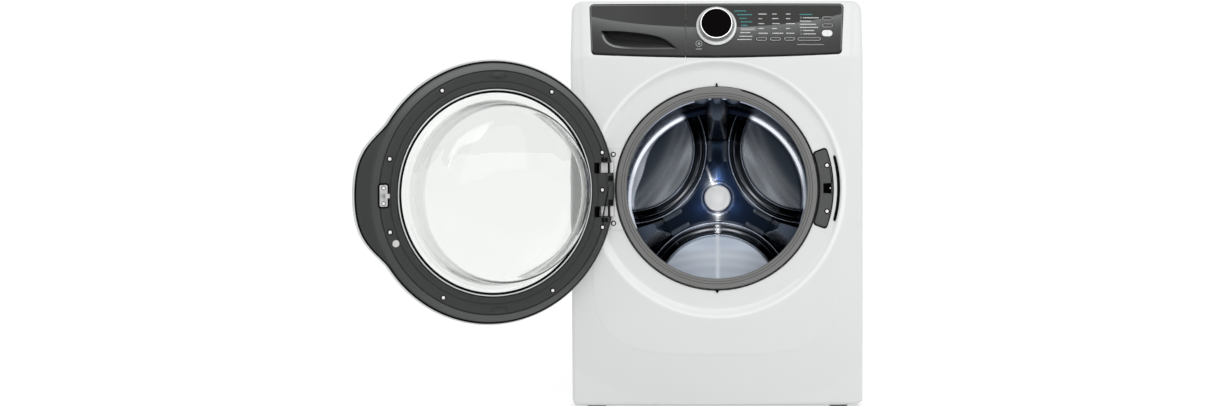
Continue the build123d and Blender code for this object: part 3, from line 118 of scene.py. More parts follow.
@dataclass
class Shell:
    """A mesh in the making: points, one a row, and quads; a triangle repeats its last corner."""

    verts: Array
    quads: Array

    def flipped(self) -> "Shell":
        """The same faces, facing the other way."""
        return Shell(self.verts, self.quads[:, ::-1])

    def facing(self, way: Point) -> "Shell":
        """The same faces, turned if they face away from a direction on the whole."""
        a, b, c, d = (self.verts[self.quads[:, i]] for i in range(4))
        total = np.cross(c - a, d - b).sum(0)
        return self if total @ np.array(way) >= 0 else self.flipped()

    def closed_out(self) -> "Shell":
        """The same closed shell with its faces outwards, by the sign of its volume."""
        a, b, c, d = (self.verts[self.quads[:, i]] for i in range(4))
        volume = np.einsum("ij,ij", a, np.cross(b, c)) + np.einsum("ij,ij", a, np.cross(c, d))
        return self if volume >= 0 else self.flipped()


def joined(shells: list[Shell]) -> Shell:
    """Several shells as one, their vertices kept apart."""
    starts = np.cumsum([0] + [len(s.verts) for s in shells[:-1]])
    verts = np.concatenate([s.verts for s in shells])
    return Shell(verts, np.concatenate([s.quads + start for s, start in zip(shells, starts)]))


def woven(points: Array, rows_close: bool = False, cols_close: bool = False) -> Shell:
    """Join a grid of points with faces between neighbouring rows and columns.

    Points within a ten thousandth of a millimetre become one vertex, so poles and folds close.
    A quad that loses a corner by it becomes a triangle, and one that loses two is dropped.

    Args:
        points: rows by columns by 3.
        rows_close: the last row joins the first.
        cols_close: the last column joins the first.

    Returns:
        The shell, with no unused vertex.
    """
    flat = points.reshape(-1, 3)
    _, first, same = np.unique(np.round(flat, 7), axis=0, return_index=True, return_inverse=True)
    index = first[same.ravel()].reshape(points.shape[:2])
    below = index if rows_close else index[:-1]
    above = np.roll(index, -1, 0) if rows_close else index[1:]
    if cols_close:
        corners = [below, np.roll(below, -1, 1), np.roll(above, -1, 1), above]
    else:
        corners = [below[:, :-1], below[:, 1:], above[:, 1:], above[:, :-1]]
    quads = np.stack([c.ravel() for c in corners], -1)
    lost = quads == np.roll(quads, -1, 1)
    folded = (quads[:, 0] == quads[:, 2]) | (quads[:, 1] == quads[:, 3])
    keep = (lost.sum(1) < 2) & ~folded
    quads, lost = quads[keep], lost[keep]
    packed = np.take_along_axis(quads, np.argsort(lost, axis=1, kind="stable"), 1)
    three = lost.any(1)
    packed[three, 3] = packed[three, 2]
    used, packed = np.unique(packed, return_inverse=True)
    return Shell(flat[used], packed.reshape(-1, 4))


def softened(points: list[Pair], reach: float | list[float], steps: int = 5, loop: bool = False) -> Array:
    """Round the corners of a broken line with parabolas.

    Each corner P becomes (1-t)^2 S + 2t(1-t) P + t^2 E, where S and E lie on its two runs, reach
    away from it, or 0.48 of the run where that is less.

    Args:
        points: the corners.
        reach: how far along its runs each corner is rounded.
        steps: points in each corner's curve.
        loop: the line closes on itself.

    Returns:
        The rounded line, one point a row.
    """
    line = np.array(points, float)
    runs = np.roll(line, 1, 0) - line, np.roll(line, -1, 0) - line
    wanted = np.broadcast_to(np.array(reach, float), (len(line),))[:, None]
    spans = [np.linalg.norm(run, axis=1, keepdims=True) for run in runs]
    start, end = (line + run / span * np.minimum(wanted, 0.48 * span) for run, span in zip(runs, spans))
    t = np.linspace(0, 1, steps)[None, :, None]
    curve = (1 - t) ** 2 * start[:, None] + 2 * t * (1 - t) * line[:, None] + t**2 * end[:, None]
    if loop:
        return curve.reshape(-1, 2)
    return np.concatenate([line[:1], curve[1:-1].reshape(-1, 2), line[-1:]])


def round_steps(count: int) -> Array:
    """Evenly spaced angles of a full turn, without its end."""
    return np.linspace(0, TAU, count, endpoint=False)


def polar(radius: Array, angle: Array) -> tuple[Array, Array]:
    """Across and up of points at a radius and an angle."""
    return radius * np.cos(angle), radius * np.sin(angle)


def turned(place: Placement, profile: Array, segments: int = 240, loop: bool = False) -> Shell:
    """Carry a profile of (radius, height) points round the placement's out axis.

    Args:
        place: the axis.
        profile: points, one a row.
        segments: columns round the axis.
        loop: the profile closes on itself.

    Returns:
        The shell.
    """
    points = place.place(*polar(profile[:, :1], round_steps(segments)), profile[:, 1:])
    return woven(points, rows_close=loop, cols_close=True)


def stacked(place: Placement, outlines: list, heights: tuple[float, ...], fan: bool = False) -> Shell:
    """Weave closed outlines laid over a placement.

    Args:
        place: what they lie on.
        outlines: the across and up of each.
        heights: how far out each lies.
        fan: the last one closes on its middle.

    Returns:
        The shell, facing out.
    """
    rows = [place.place(a, b, height) for (a, b), height in zip(outlines, heights)]
    if fan:
        rows.append(np.broadcast_to(rows[-1].mean(0), rows[-1].shape))
    return woven(np.array(rows), cols_close=True).facing(place.out)


def swung(x: Array, y: Array, degrees: float) -> tuple[Array, Array]:
    """Coordinates turned anticlockwise by an angle."""
    c, s = math.cos(math.radians(degrees)), math.sin(math.radians(degrees))
    return x * c - y * s, x * s + y * c


def ramp(low: float, high: float, value: Array) -> Array:
    """Rise from 0 at low to 1 at high as 3t^2 - 2t^3; low may be the greater."""
    t = np.clip((value - low) / (high - low), 0, 1)
    return t * t * (3 - 2 * t)


def soft_plus(value: Array, width: float) -> Array:
    """Zero for negative values and the value itself for positive ones, rounded over width."""
    return (value + np.sqrt(value**2 + width**2)) / 2


def bell(value: Array, middle: float, width: float) -> Array:
    """A bell curve, exp(-((value - middle) / width)^2)."""
    return np.exp(-(((value - middle) / width) ** 2))


def rolled(gap: Array, width: float, drop: float) -> Array:
    """A quarter ellipse's fall towards an edge that is gap away: 0 past width, drop at 0."""
    near = np.clip(1 - gap / width, 0, 1)
    return drop * (1 - np.sqrt(np.maximum(1 - near**2, 0)))


def steps(*stops: float) -> Array:
    """Values from the first stop to the last; every second number is the step up to the next.

    For example steps(0, 1, 10) counts 0, 1 ... 10.
    """
    runs = []
    for start, step, end in zip(stops[:-2:2], stops[1:-1:2], stops[2::2]):
        runs.append(np.linspace(start, end, max(int(round((end - start) / step)), 1) + 1)[:-1])
    return np.concatenate([*runs, [stops[-1]]])


def path_length(line: Array) -> Array:
    """How far along a line each of its points lies."""
    return np.concatenate([[0], np.cumsum(np.linalg.norm(np.diff(line, axis=0), axis=1))])


def rounded_outline(
    low: Pair, high: Pair, radius: float, count: int, foot: float | None = None
) -> tuple[Array, Array]:
    """Walk a rectangle with rounded corners at even steps, anticlockwise from its right side.

    Args:
        low: its lower left corner.
        high: its upper right corner.
        radius: radius of its corners.
        count: points on it.
        foot: radius of its lower corners, where another.

    Returns:
        The points and their outward normals, one a row.
    """
    foot = radius if foot is None else foot
    upper = (high, high, -1, -1, radius), (low, high, 1, -1, radius)
    sides = *upper, (low, low, 1, 1, foot), (high, low, -1, 1, foot)
    points, normals = [], []
    for quarter, (x, z, side_x, side_z, bend) in enumerate(sides):
        turn = np.linspace(0, TAU / 4, 40) + quarter / 4 * TAU
        normals.append(np.stack([np.cos(turn), np.sin(turn)], -1))
        points.append(np.array([x[0] + side_x * bend, z[1] + side_z * bend]) + bend * normals[-1])
    closed, ways = (np.concatenate([*rows, rows[0][:1]]) for rows in (points, normals))
    walked = path_length(closed)
    stops = np.linspace(0, walked[-1], count, endpoint=False)
    even, way = (
        np.stack([np.interp(stops, walked, rows[:, i]) for i in (0, 1)], -1) for rows in (closed, ways)
    )
    return even, way / np.linalg.norm(way, axis=1, keepdims=True)


def pill_outline(low: Pair, high: Pair, radius: float, count: int) -> Array:
    """A rounded rectangle's points as one row across and one row up."""
    return rounded_outline(low, high, radius, count)[0].T


def make_piece(
    name: str,
    shell: Shell,
    finish: "Finish",
    body: str,
    replaces: tuple[str, ...] = (),
    sharp: float = 32.0,
    tones: dict[str, Array] | None = None,
) -> None:
    """Put a shell into the scene as a piece of the machine.

    Args:
        name: the piece's name.
        shell: its faces.
        finish: what it is made of.
        body: the moving body it rides on.
        replaces: the plain nodes it stands for.
        sharp: edges that turn by more than this many degrees stay sharp.
        tones: named values for each vertex, where the finish paints light and shade.
    """
    mesh = bpy.data.meshes.new(name)
    flat = shell.quads[:, 2] == shell.quads[:, 3]
    faces = shell.quads[~flat].tolist() + shell.quads[flat][:, :3].tolist()
    mesh.from_pydata(shell.verts.tolist(), [], faces)
    mesh.shade_smooth()
    mesh.set_sharp_from_angle(angle=math.radians(sharp))
    for label, values in (tones or {}).items():
        layer = mesh.attributes.new(label, "FLOAT", "POINT")
        layer.data.foreach_set("value", np.ascontiguousarray(values, np.float32).ravel())
    mesh.materials.append(finish.material())
    piece = bpy.data.objects.new(name, mesh)
    bpy.context.scene.collection.objects.link(piece)
    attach(piece, body)
    if replaces:
        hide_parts(*replaces)
    log.info("%s: %d faces on %s", name, len(faces), body)


def dress(finish: "Finish", *nodes: str) -> None:
    """Give carried-over nodes a finish in place of their plain one."""
    for node in nodes:
        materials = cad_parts[node].data.materials
        materials.clear()
        materials.append(finish.material())
        log.info("%s: dressed in %s", node, finish.name)


# ---- finishes


def linear(colour: Colour) -> tuple[float, float, float, float]:
    """A 0 to 255 screen colour as the linear one that shaders take."""
    share = [c / 255 for c in colour]
    return (*[c / 12.92 if c <= 0.04045 else ((c + 0.055) / 1.055) ** 2.4 for c in share], 1.0)


class Wiring:
    """Adds nodes to a node tree and joins them."""

    def __init__(self, tree: bpy.types.NodeTree) -> None:
        """Start on a tree whose own nodes are kept."""
        self.tree = tree

    def node(self, kind: str, inputs: dict | None = None, **settings: object) -> bpy.types.Node:
        """Add a node.

        Args:
            kind: its Blender type.
            inputs: sockets by name or number, each given a value or joined to a socket.
            settings: the node's own properties.

        Returns:
            The node.
        """
        new = self.tree.nodes.new(kind)
        for label, value in settings.items():
            setattr(new, label, value)
        for label, value in (inputs or {}).items():
            if isinstance(value, Socket):
                self.tree.links.new(value, new.inputs[label])
            else:
                new.inputs[label].default_value = value
        return new

    def math(self, operation: str, a: object, b: object = 0.0) -> Socket:
        """The result of a Math node on two values or sockets."""
        return self.node("ShaderNodeMath", {0: a, 1: b}, operation=operation).outputs[0]

    def mixed(self, share: object, a: object, b: object) -> Socket:
        """Colour a turning into colour b as share goes from 0 to 1."""
        return self.node("ShaderNodeMix", {0: share, 6: a, 7: b}, data_type="RGBA").outputs[2]

    def spread(self, value: object, low: float, high: float) -> Socket:
        """Carry a value from 0..1 to low..high."""
        return self.node("ShaderNodeMapRange", {0: value, 3: low, 4: high}).outputs[0]

    def noise(self, vector: object, scale: object, detail: float = 2.0) -> Socket:
        """Fractal noise from 0 to 1."""
        inputs = {"Vector": vector, "Scale": scale, "Detail": detail}
        return self.node("ShaderNodeTexNoise", inputs).outputs["Fac"]

    def object_place(self) -> Socket:
        """Where a point lies on its object."""
        return self.node("ShaderNodeTexCoord").outputs["Object"]

    def group(self, name: str, inputs: dict | None = None) -> bpy.types.Node:
        """A shared effect with its inputs' values."""
        return self.node("ShaderNodeGroup", inputs, node_tree=GROUPS[name])

    def seen(self) -> Socket:
        """1 for camera, transmission and glossy rays."""
        rays = self.node("ShaderNodeLightPath").outputs
        direct = self.math("MAXIMUM", rays["Is Camera Ray"], rays["Is Transmission Ray"])
        return self.math("MAXIMUM", direct, rays["Is Glossy Ray"])


def new_material(name: str) -> tuple[bpy.types.Material, Wiring]:
    """An empty node material and its wiring."""
    material = bpy.data.materials.new(name)
    material.use_nodes = True
    material.node_tree.nodes.clear()
    return material, Wiring(material.node_tree)


class Effect:
    """A shader node group of plain number sockets, with its wiring, inputs and one output."""

    def __init__(self, name: str, inputs: dict[str, float]) -> None:
        """Start the group with its inputs and what each is at first."""
        self.tree = bpy.data.node_groups.new(name, "ShaderNodeTree")
        for label, value in inputs.items():
            socket = self.tree.interface.new_socket(label, in_out="INPUT", socket_type="NodeSocketFloat")
            socket.default_value = value
        self.wiring = Wiring(self.tree)
        self.given = self.wiring.node("NodeGroupInput").outputs

    def ended(self, **outputs: Socket) -> bpy.types.NodeTree:
        """Give the group its outputs and return it."""
        for label in outputs:
            self.tree.interface.new_socket(label, in_out="OUTPUT", socket_type="NodeSocketFloat")
        self.wiring.node("NodeGroupOutput", outputs)
        return self.tree


def grain_group() -> bpy.types.NodeTree:
    """Fine grain of a chosen size and stretch, and a broad wander over the whole piece.

    Height is noise on object coordinates divided by Size and by the stretch along x, y and z.
    Wander is slow noise, the same at every grain size.
    """
    labels = ("Along X", "Along Y", "Along Z")
    effect = Effect("surface grain", {"Size": 0.001} | dict.fromkeys(labels, 1.0))
    wiring = effect.wiring
    place = wiring.object_place()
    parts = wiring.node("ShaderNodeSeparateXYZ", {0: place}).outputs
    scaled = [wiring.math("DIVIDE", part, effect.given["Size"]) for part in parts]
    stretched = [wiring.math("DIVIDE", part, effect.given[label]) for part, label in zip(scaled, labels)]
    whole = wiring.node("ShaderNodeCombineXYZ", dict(enumerate(stretched))).outputs[0]
    return effect.ended(Height=wiring.noise(whole, 1.0, 3.0), Wander=wiring.noise(place, 7.0, 3.0))


def handling_group() -> bpy.types.NodeTree:
    """Where hands and cloths have been: soft blotches.

    Mask is two noises multiplied, lifted by Amount and cut off at 0 and 1.
    """
    effect = Effect("handling", {"Amount": 0.5, "Spread": 24.0})
    wiring = effect.wiring
    place = wiring.object_place()
    both = wiring.math("MULTIPLY", wiring.noise(place, 9.0), wiring.noise(place, effect.given["Spread"]))
    lifted = wiring.math("MULTIPLY", wiring.math("SUBTRACT", both, 0.18), 6.0)
    mask = wiring.node("ShaderNodeClamp", {0: wiring.math("MULTIPLY", lifted, effect.given["Amount"])})
    return effect.ended(Mask=mask.outputs[0])


def spangle_group() -> bpy.types.NodeTree:
    """Zinc crystals: each Voronoi cell of size Size has its own value."""
    effect = Effect("spangle", {"Size": 0.012})
    wiring = effect.wiring
    scale = wiring.math("DIVIDE", 1.0, effect.given["Size"])
    cells = wiring.node("ShaderNodeTexVoronoi", {"Vector": wiring.object_place(), "Scale": scale})
    return effect.ended(Value=wiring.node("ShaderNodeSeparateColor", {0: cells.outputs["Color"]}).outputs[0])


def perforation_group() -> bpy.types.NodeTree:
    """The drum wall's holes: a staggered grid of discs on the drum's own cylinder.

    With a the share of a turn round the axis times the number of holes in it, and b the distance
    along it divided by Pitch, every second row moves by half; Mask is 1 within Radius of a cell's
    middle.
    """
    effect = Effect("perforation", {"Pitch": 0.022, "Radius": 0.0021})
    wiring, pitch = effect.wiring, effect.given["Pitch"]
    inputs = {0: wiring.object_place(), 1: OPENING_CENTRE}
    moved = wiring.node("ShaderNodeVectorMath", inputs, operation="SUBTRACT").outputs[0]
    inputs = {"Vector": moved, "Angle": DRUM_TILT}
    level = wiring.node("ShaderNodeVectorRotate", inputs, rotation_type="X_AXIS").outputs[0]
    parts = wiring.node("ShaderNodeSeparateXYZ", {0: level}).outputs
    turn = wiring.math("ARCTAN2", parts[2], parts[0])
    a = wiring.math("MULTIPLY", turn, round(TAU * Drum.radius / 0.022) / TAU)
    b = wiring.math("DIVIDE", parts[1], pitch)
    odd = wiring.math("FLOORED_MODULO", wiring.math("FLOOR", b), 2.0)
    a = wiring.math("ADD", a, wiring.math("MULTIPLY", odd, 0.5))
    cell = [wiring.math("SUBTRACT", wiring.math("FRACT", part), 0.5) for part in (a, b)]
    squares = wiring.math("ADD", *(wiring.math("POWER", part, 2.0) for part in cell))
    far = wiring.math("MULTIPLY", wiring.math("SQRT", squares), pitch)
    inputs = {0: far, 1: effect.given["Radius"], 2: 0.0016, 3: 0.0, 4: 1.0}
    return effect.ended(Mask=wiring.node("ShaderNodeMapRange", inputs).outputs[0])


class Grain(Enum):
    """Fine surfaces: size and depth in mm, and the stretch along x, y and z."""

    PAINT = (2.6, 0.010, (1, 1, 1))
    GLOSS = (6.0, 0.004, (1, 1, 1))
    MOULDED = (0.9, 0.014, (1, 1, 1))
    RUBBER = (1.4, 0.016, (1, 1, 1))
    ROLLED = (0.6, 0.006, (40, 1, 1))
    UPRIGHT = (0.6, 0.006, (1, 1, 40))
    CAST = (1.8, 0.080, (1, 1, 1))
    ZINC = (3.0, 0.008, (1, 1, 1))


@dataclass(frozen=True)
class Shade:
    """Painted light or shade: the colour, and the roughness unless None, where a named value of the vertices is 1.
    """

    tone: str
    colour: Colour
    rough: float | None = None


@dataclass(frozen=True)
class Finish:
    """An opaque finish: metal is 1 for bare metal, coat the clear lacquer and gloss the specular level.

    The colour strays by wander, a share, to each side; handling adds handled to the roughness;
    shades of painted light and shade lie over it, and pierced shows the drum wall's holes.
    """

    name: str
    colour: Colour
    rough: float = 0.45
    metal: float = 0.0
    grain: Grain = Grain.MOULDED
    wander: float = 0.05
    coat: float = 0.0
    handled: float = 0.08
    gloss: float = 0.5
    shades: tuple[Shade, ...] = ()
    pierced: bool = False

    def material(self) -> bpy.types.Material:
        """The finish as a material, made once and then shared."""
        return bpy.data.materials.get(self.name) or self.built()

    def built(self) -> bpy.types.Material:
        """Make the material: wandering colour, dulled patches, fine bump and its shades of painted light and shade.
        """
        material, wiring = new_material(self.name)
        size, depth, stretch = self.grain.value
        inputs = {f"Along {axis}": part for axis, part in zip("XYZ", stretch)}
        grain = wiring.group("grain", inputs | {"Size": size * MM}).outputs
        base = linear(self.colour)
        low, high = ((*(min(c * (1 + side * self.wander), 1) for c in base[:3]), 1.0) for side in (-1, 1))
        zinc = self.grain is Grain.ZINC
        stray = wiring.group("spangle").outputs["Value"] if zinc else grain["Wander"]
        colour = wiring.mixed(stray, low, high)
        mark = wiring.group("handling", {"Amount": 0.5}).outputs["Mask"]
        rough = wiring.spread(mark, self.rough, min(self.rough + self.handled, 1))
        for shade in self.shades:
            share = wiring.node("ShaderNodeAttribute", attribute_name=shade.tone).outputs["Fac"]
            colour = wiring.mixed(share, colour, linear(shade.colour))
            if shade.rough is not None:
                rough = wiring.math("ADD", rough, wiring.math("MULTIPLY", share, shade.rough - self.rough))
        if self.pierced:
            share = wiring.math("MULTIPLY", wiring.group("perforation").outputs["Mask"], 0.18)
            colour = wiring.mixed(share, colour, linear((30, 34, 42)))
        bump = wiring.node("ShaderNodeBump", {"Height": grain["Height"], "Distance": depth * MM})
        inputs = {"Base Color": colour, "Roughness": rough, "Normal": bump.outputs[0]}
        inputs |= {"Metallic": self.metal, "Coat Weight": self.coat, "Coat Roughness": 0.06}
        shader = wiring.node("ShaderNodeBsdfPrincipled", inputs | {"Specular IOR Level": self.gloss})
        wiring.node("ShaderNodeOutputMaterial", {0: shader.outputs[0]})
        material.diffuse_color = base
        return material


@dataclass(frozen=True)
class Clear(Finish):
    """A clear finish, for glass and clear plastic."""

    ior: float = 1.5

    def built(self) -> bpy.types.Material:
        """Make the material: clear glass whose roughness lifts a little where it was handled."""
        material, wiring = new_material(self.name)
        mark = wiring.group("handling", {"Amount": 0.4}).outputs["Mask"]
        base = linear(self.colour)
        darker = (*(c * (1 - self.wander) for c in base[:3]), 1.0)
        inputs = {"Base Color": wiring.mixed(mark, base, darker), "Transmission Weight": 1.0, "Metallic": 0.0}
        inputs |= {"Roughness": wiring.spread(mark, self.rough, self.rough + self.handled), "IOR": self.ior}
        shader = wiring.node("ShaderNodeBsdfPrincipled", inputs)
        wiring.node("ShaderNodeOutputMaterial", {0: shader.outputs[0]})
        material.diffuse_color = base
        return material


MOULDED, GLOSS, PAINT, RUBBER = Grain.MOULDED, Grain.GLOSS, Grain.PAINT, Grain.RUBBER
ROLLED, UPRIGHT, CAST = Grain.ROLLED, Grain.UPRIGHT, Grain.CAST

# Painted light: the band of the recess wall is painted near white, lighter than the enamel, as if lit more
# strongly.
RECESS_WALL_PAINTED_LIGHT = (Shade("wall", (251, 252, 252)),)
WHITE_ENAMEL = Finish("white enamel", (233, 235, 234), 0.38, 0.0, PAINT, 0.008, 0.25, shades=RECESS_WALL_PAINTED_LIGHT)
SIDE_ENAMEL = Finish("side enamel", (229, 231, 230), 0.45, 0.0, PAINT, 0.012, 0.15)
ZINC_SHEET = Finish("zinc sheet", (172, 176, 178), 0.42, 1.0, Grain.ZINC, 0.18)
BRIGHT_STEEL = Finish("bright steel", (214, 215, 216), 0.24, 1.0, ROLLED)
SCREW_STEEL = Finish("screw steel", (224, 224, 222), 0.26, 1.0, UPRIGHT, 0.06)
BRACKET_STEEL = Finish("bracket steel", (216, 217, 216), 0.36, 0.5, UPRIGHT)
STRIKE_STEEL = Finish("strike steel", (196, 197, 196), 0.36, 0.45, UPRIGHT)
PAD_STEEL = Finish("satin pad steel", (84, 90, 98), 0.3, 1.0, GLOSS, 0.12)
SATIN_STEEL = Finish("satin hub steel", (238, 239, 240), 0.40, 0.95, GLOSS, 0.03)
CAST_ALLOY = Finish("cast alloy", (150, 152, 154), 0.5, 1.0, CAST, 0.08)
DARK_TRIM = Finish("dark trim", (66, 67, 67), 0.5)
BLACK_PART = Finish("black part", (14, 14, 15), 0.6, wander=0.15, gloss=0.08)
INNER_PLASTIC = Finish("inner plastic", (205, 207, 206), 0.5, wander=0.03)
BOARD_GREEN = Finish("circuit board", (38, 92, 62), 0.4, wander=0.12)
INK_WHITE, INK_GREY, INK_TEAL, INK_DARK = (
    Finish(f"{name} print", colour, 0.5, 0.0, GLOSS, wander, handled=0.05)
    for name, colour, wander in (
        ("white", (244, 245, 245), 0.02),
        ("grey", (196, 198, 198), 0.02),
        ("teal", (62, 168, 172), 0.03),
        ("dark", (86, 88, 88), 0.03),
    )
)
BUTTON_DARK = Finish("button plastic", (44, 45, 44), 0.36, wander=0.04, coat=0.1, gloss=0.35)
BUTTON_PALE = Finish("pale button plastic", (236, 237, 237), 0.35, wander=0.01, coat=0.1)
KNOB_METAL = Finish("satin aluminium", (196, 197, 197), 0.33, 1.0, GLOSS, 0.04)
KNOB_BRIGHT = Finish("bright aluminium", (232, 233, 233), 0.16, 1.0, GLOSS, 0.02)
KNOB_BLACK = Finish("black glass", (5, 2, 3), 0.25, 0.0, GLOSS, 0.1, handled=0.01, gloss=0.015)
# Painted shade on the bellows: darker and bluer deeper in, and dark lines along the lip's grooves.
FOLD_PAINTED_SHADE = (Shade("deep", (74, 84, 104), 0.4), Shade("groove", (70, 71, 71)))
GREY_RUBBER = Finish("grey rubber", (120, 120, 119), 0.5, 0.0, RUBBER, shades=FOLD_PAINTED_SHADE)
NOZZLE_RUBBER = Finish("nozzle rubber", (62, 76, 98), 0.35, 0.0, RUBBER, 0.1, coat=0.3)
SLIT_BLACK = Finish("slit liner black", (8, 8, 9), 0.6, wander=0.15, gloss=0.05)
LATCH_GREY = Finish("latch cover plastic", (78, 79, 79), 0.46, gloss=0.35)
RIM_SILVER = Finish("door rim silver", (200, 202, 202), 0.28, 0.85, GLOSS, 0.03)
DOOR_WHITE = Finish("door shell white", (226, 228, 228), 0.3, 0.0, PAINT, 0.015, 0.3)
SEAL_BLACK = Finish("glass seal", (10, 10, 11), 0.6, 0.0, RUBBER, 0.1, gloss=0.06)
BUMPER_WHITE = Finish("bumper rubber", (216, 217, 215), 0.55, 0.0, RUBBER, 0.04)
CLEAR_BOWL = Clear("clear glass bowl", (241, 242, 241), 0.0, wander=0.006, handled=0.01)
CLEAR_WINDOW = Clear("clear window", (246, 247, 246), 0.0, wander=0.006, handled=0.015, ior=1.45)
# Painted light and shade on the door ring: a pale bevel lit most at the top, shade at its outer edge, in its
# grooves and round its bumps.
RING_PAINTED_LIGHT = (
    Shade("pale", (114, 116, 115), 0.42),
    Shade("ring_edge_shade", (40, 41, 42), 0.5),
    Shade("deep", (22, 22, 23), 0.5),
)
RING_PLASTIC = Finish(
    "door ring plastic", (57, 58, 58), 0.5, wander=0.035, handled=0.06, gloss=0.25, shades=RING_PAINTED_LIGHT
)
# Painted light and shade on the console: light below the crease, a highlight on the rim, near black shade on the
# lower edge and a thin outline, the pocket's shadow and its lit lip.
CONSOLE_PAINTED_LIGHT = (
    Shade("glow", (110, 112, 112), 0.40),
    Shade("rim", (128, 131, 131), 0.30),
    Shade("under", (3, 3, 4), 0.7),
    Shade("shadow", (26, 27, 27), 0.85),
    Shade("lit", (150, 153, 156), 0.3),
)
CONSOLE = Finish(
    "console plastic", (37, 38, 36), 0.34, wander=0.04, coat=0.05, gloss=0.2, shades=CONSOLE_PAINTED_LIGHT
)
# Painted reflections on the polished drum back: its dark blue base colour and these shades stand for what the steel
# reflects, with painted highlights on the ridges and painted shade between them.
BACK_PAINTED_REFLECTIONS = (
    Shade("ash_reflection", (136, 141, 147), 0.26),
    Shade("slate_reflection", (60, 68, 79), 0.22),
    Shade("pearl_reflection", (207, 214, 223), 0.30),
    Shade("azure_reflection", (156, 177, 210), 0.13),
    Shade("navy_reflection", (38, 56, 90), 0.11),
    Shade("dark", (24, 26, 29), 0.13),
    Shade("line", (196, 204, 218), 0.20),
    Shade("white", (240, 243, 248), 0.25),
)
BACK_STEEL = Finish(
    "polished drum back", (15, 22, 31), 0.11, 1.0, GLOSS, 0.15, handled=0.04, shades=BACK_PAINTED_REFLECTIONS
)
# Painted reflections on the drum wall: bright at the bottom, at the left and where the shoulder meets the lenses,
# and painted shade elsewhere.
WALL_PAINTED_REFLECTIONS = (
    Shade("dark", (14, 20, 32), 0.2),
    Shade("slate_reflection", (92, 100, 112), 0.3),
    Shade("white", (236, 240, 246), 0.25),
)
WALL_STEEL = Finish(
    "pierced drum wall", (158, 168, 184), 0.26, 1.0, GLOSS, 0.08, handled=0.05, shades=WALL_PAINTED_REFLECTIONS, pierced=True
)
# Painted light on the lifters: their dark blue base colour stands for what the steel reflects, with painted
# highlights along the tips' edges and painted light on their front ends.
LIFTER_PAINTED_LIGHT = (Shade("line", (200, 206, 216), 0.2), Shade("cap", (62, 70, 82), 0.35))
LIFTER_STEEL = Finish(
    "lifter steel", (20, 27, 42), 0.2, 1.0, GLOSS, 0.12, handled=0.05, shades=LIFTER_PAINTED_LIGHT
)


# ---- cabinet


@dataclass(frozen=True)
class Face:
    """The bowed surface, leaning back at its top, that the front panel and console share.

    It falls back by bow over half its width, and by lean for each metre above lean_start.
    """

    middle: float = -0.382
    half: float = 0.343
    bow: float = 0.013
    lean_start: float = 0.835
    lean: float = math.tan(math.radians(16))

    def y(self, x: Array, z: Array) -> Array:
        """Depth of the face: middle, plus the bow's arc, plus the lean rounded over 3 mm."""
        radius = (self.half**2 + self.bow**2) / (2 * self.bow)
        fallen = radius - np.sqrt(radius**2 - x**2)
        return self.middle + fallen + self.lean * soft_plus(z - self.lean_start, 0.003)

    def patch(self, x: Array, z: Array, proud: Array | float) -> Array:
        """Points proud of the face along its normal, which (dy/dx, -1, dy/dz) gives."""
        step = 1e-4
        slope_x = (self.y(x + step, z) - self.y(x - step, z)) / (2 * step)
        slope_z = (self.y(x, z + step) - self.y(x, z - step)) / (2 * step)
        way = np.stack([slope_x, -np.ones_like(slope_x), slope_z], -1)
        way /= np.linalg.norm(way, axis=-1, keepdims=True)
        proud = np.broadcast_to(proud, slope_x.shape)
        return np.stack([x, self.y(x, z), z], -1) + way * proud[..., None]

    def plane(self, x: float, z: float, proud: float = 0.0) -> Placement:
        """The flat that touches the face at a point, moved proud of it."""
        step = 1e-4
        at, right, above = self.patch(np.array([x, x + step, x]), np.array([z, z, z + step]), proud)
        across, up = (way / np.linalg.norm(way) for way in (right - at, above - at))
        return Placement(tuple(at), tuple(across), tuple(up), tuple(np.cross(across, up)))


FACE = Face()


@dataclass(frozen=True)
class Hole:
    """A rectangular hole in a sheet, between two corners in x and z."""

    low: Pair
    high: Pair

    def cut(self, shell: Shell, near: Array) -> Shell:
        """Leave out the faces inside the hole and push the corners left in it to its edge.

        Args:
            shell: the sheet.
            near: whether each vertex may belong to the hole.

        Returns:
            The sheet with the hole.
        """
        flat = shell.verts[:, [0, 2]]
        low, high = np.array(self.low), np.array(self.high)
        inside = near & ((flat > low) & (flat < high)).all(1)
        quads = shell.quads[~inside[shell.quads].all(1)]
        nearest = np.concatenate([flat - low, high - flat], 1).argmin(1)
        moved = shell.verts.copy()
        for side, (axis, edge) in enumerate(((0, low[0]), (2, low[1]), (0, high[0]), (2, high[1]))):
            moved[inside & (nearest == side), axis] = edge
        used, quads = np.unique(quads, return_inverse=True)
        return Shell(moved[used], quads.reshape(-1, 4))


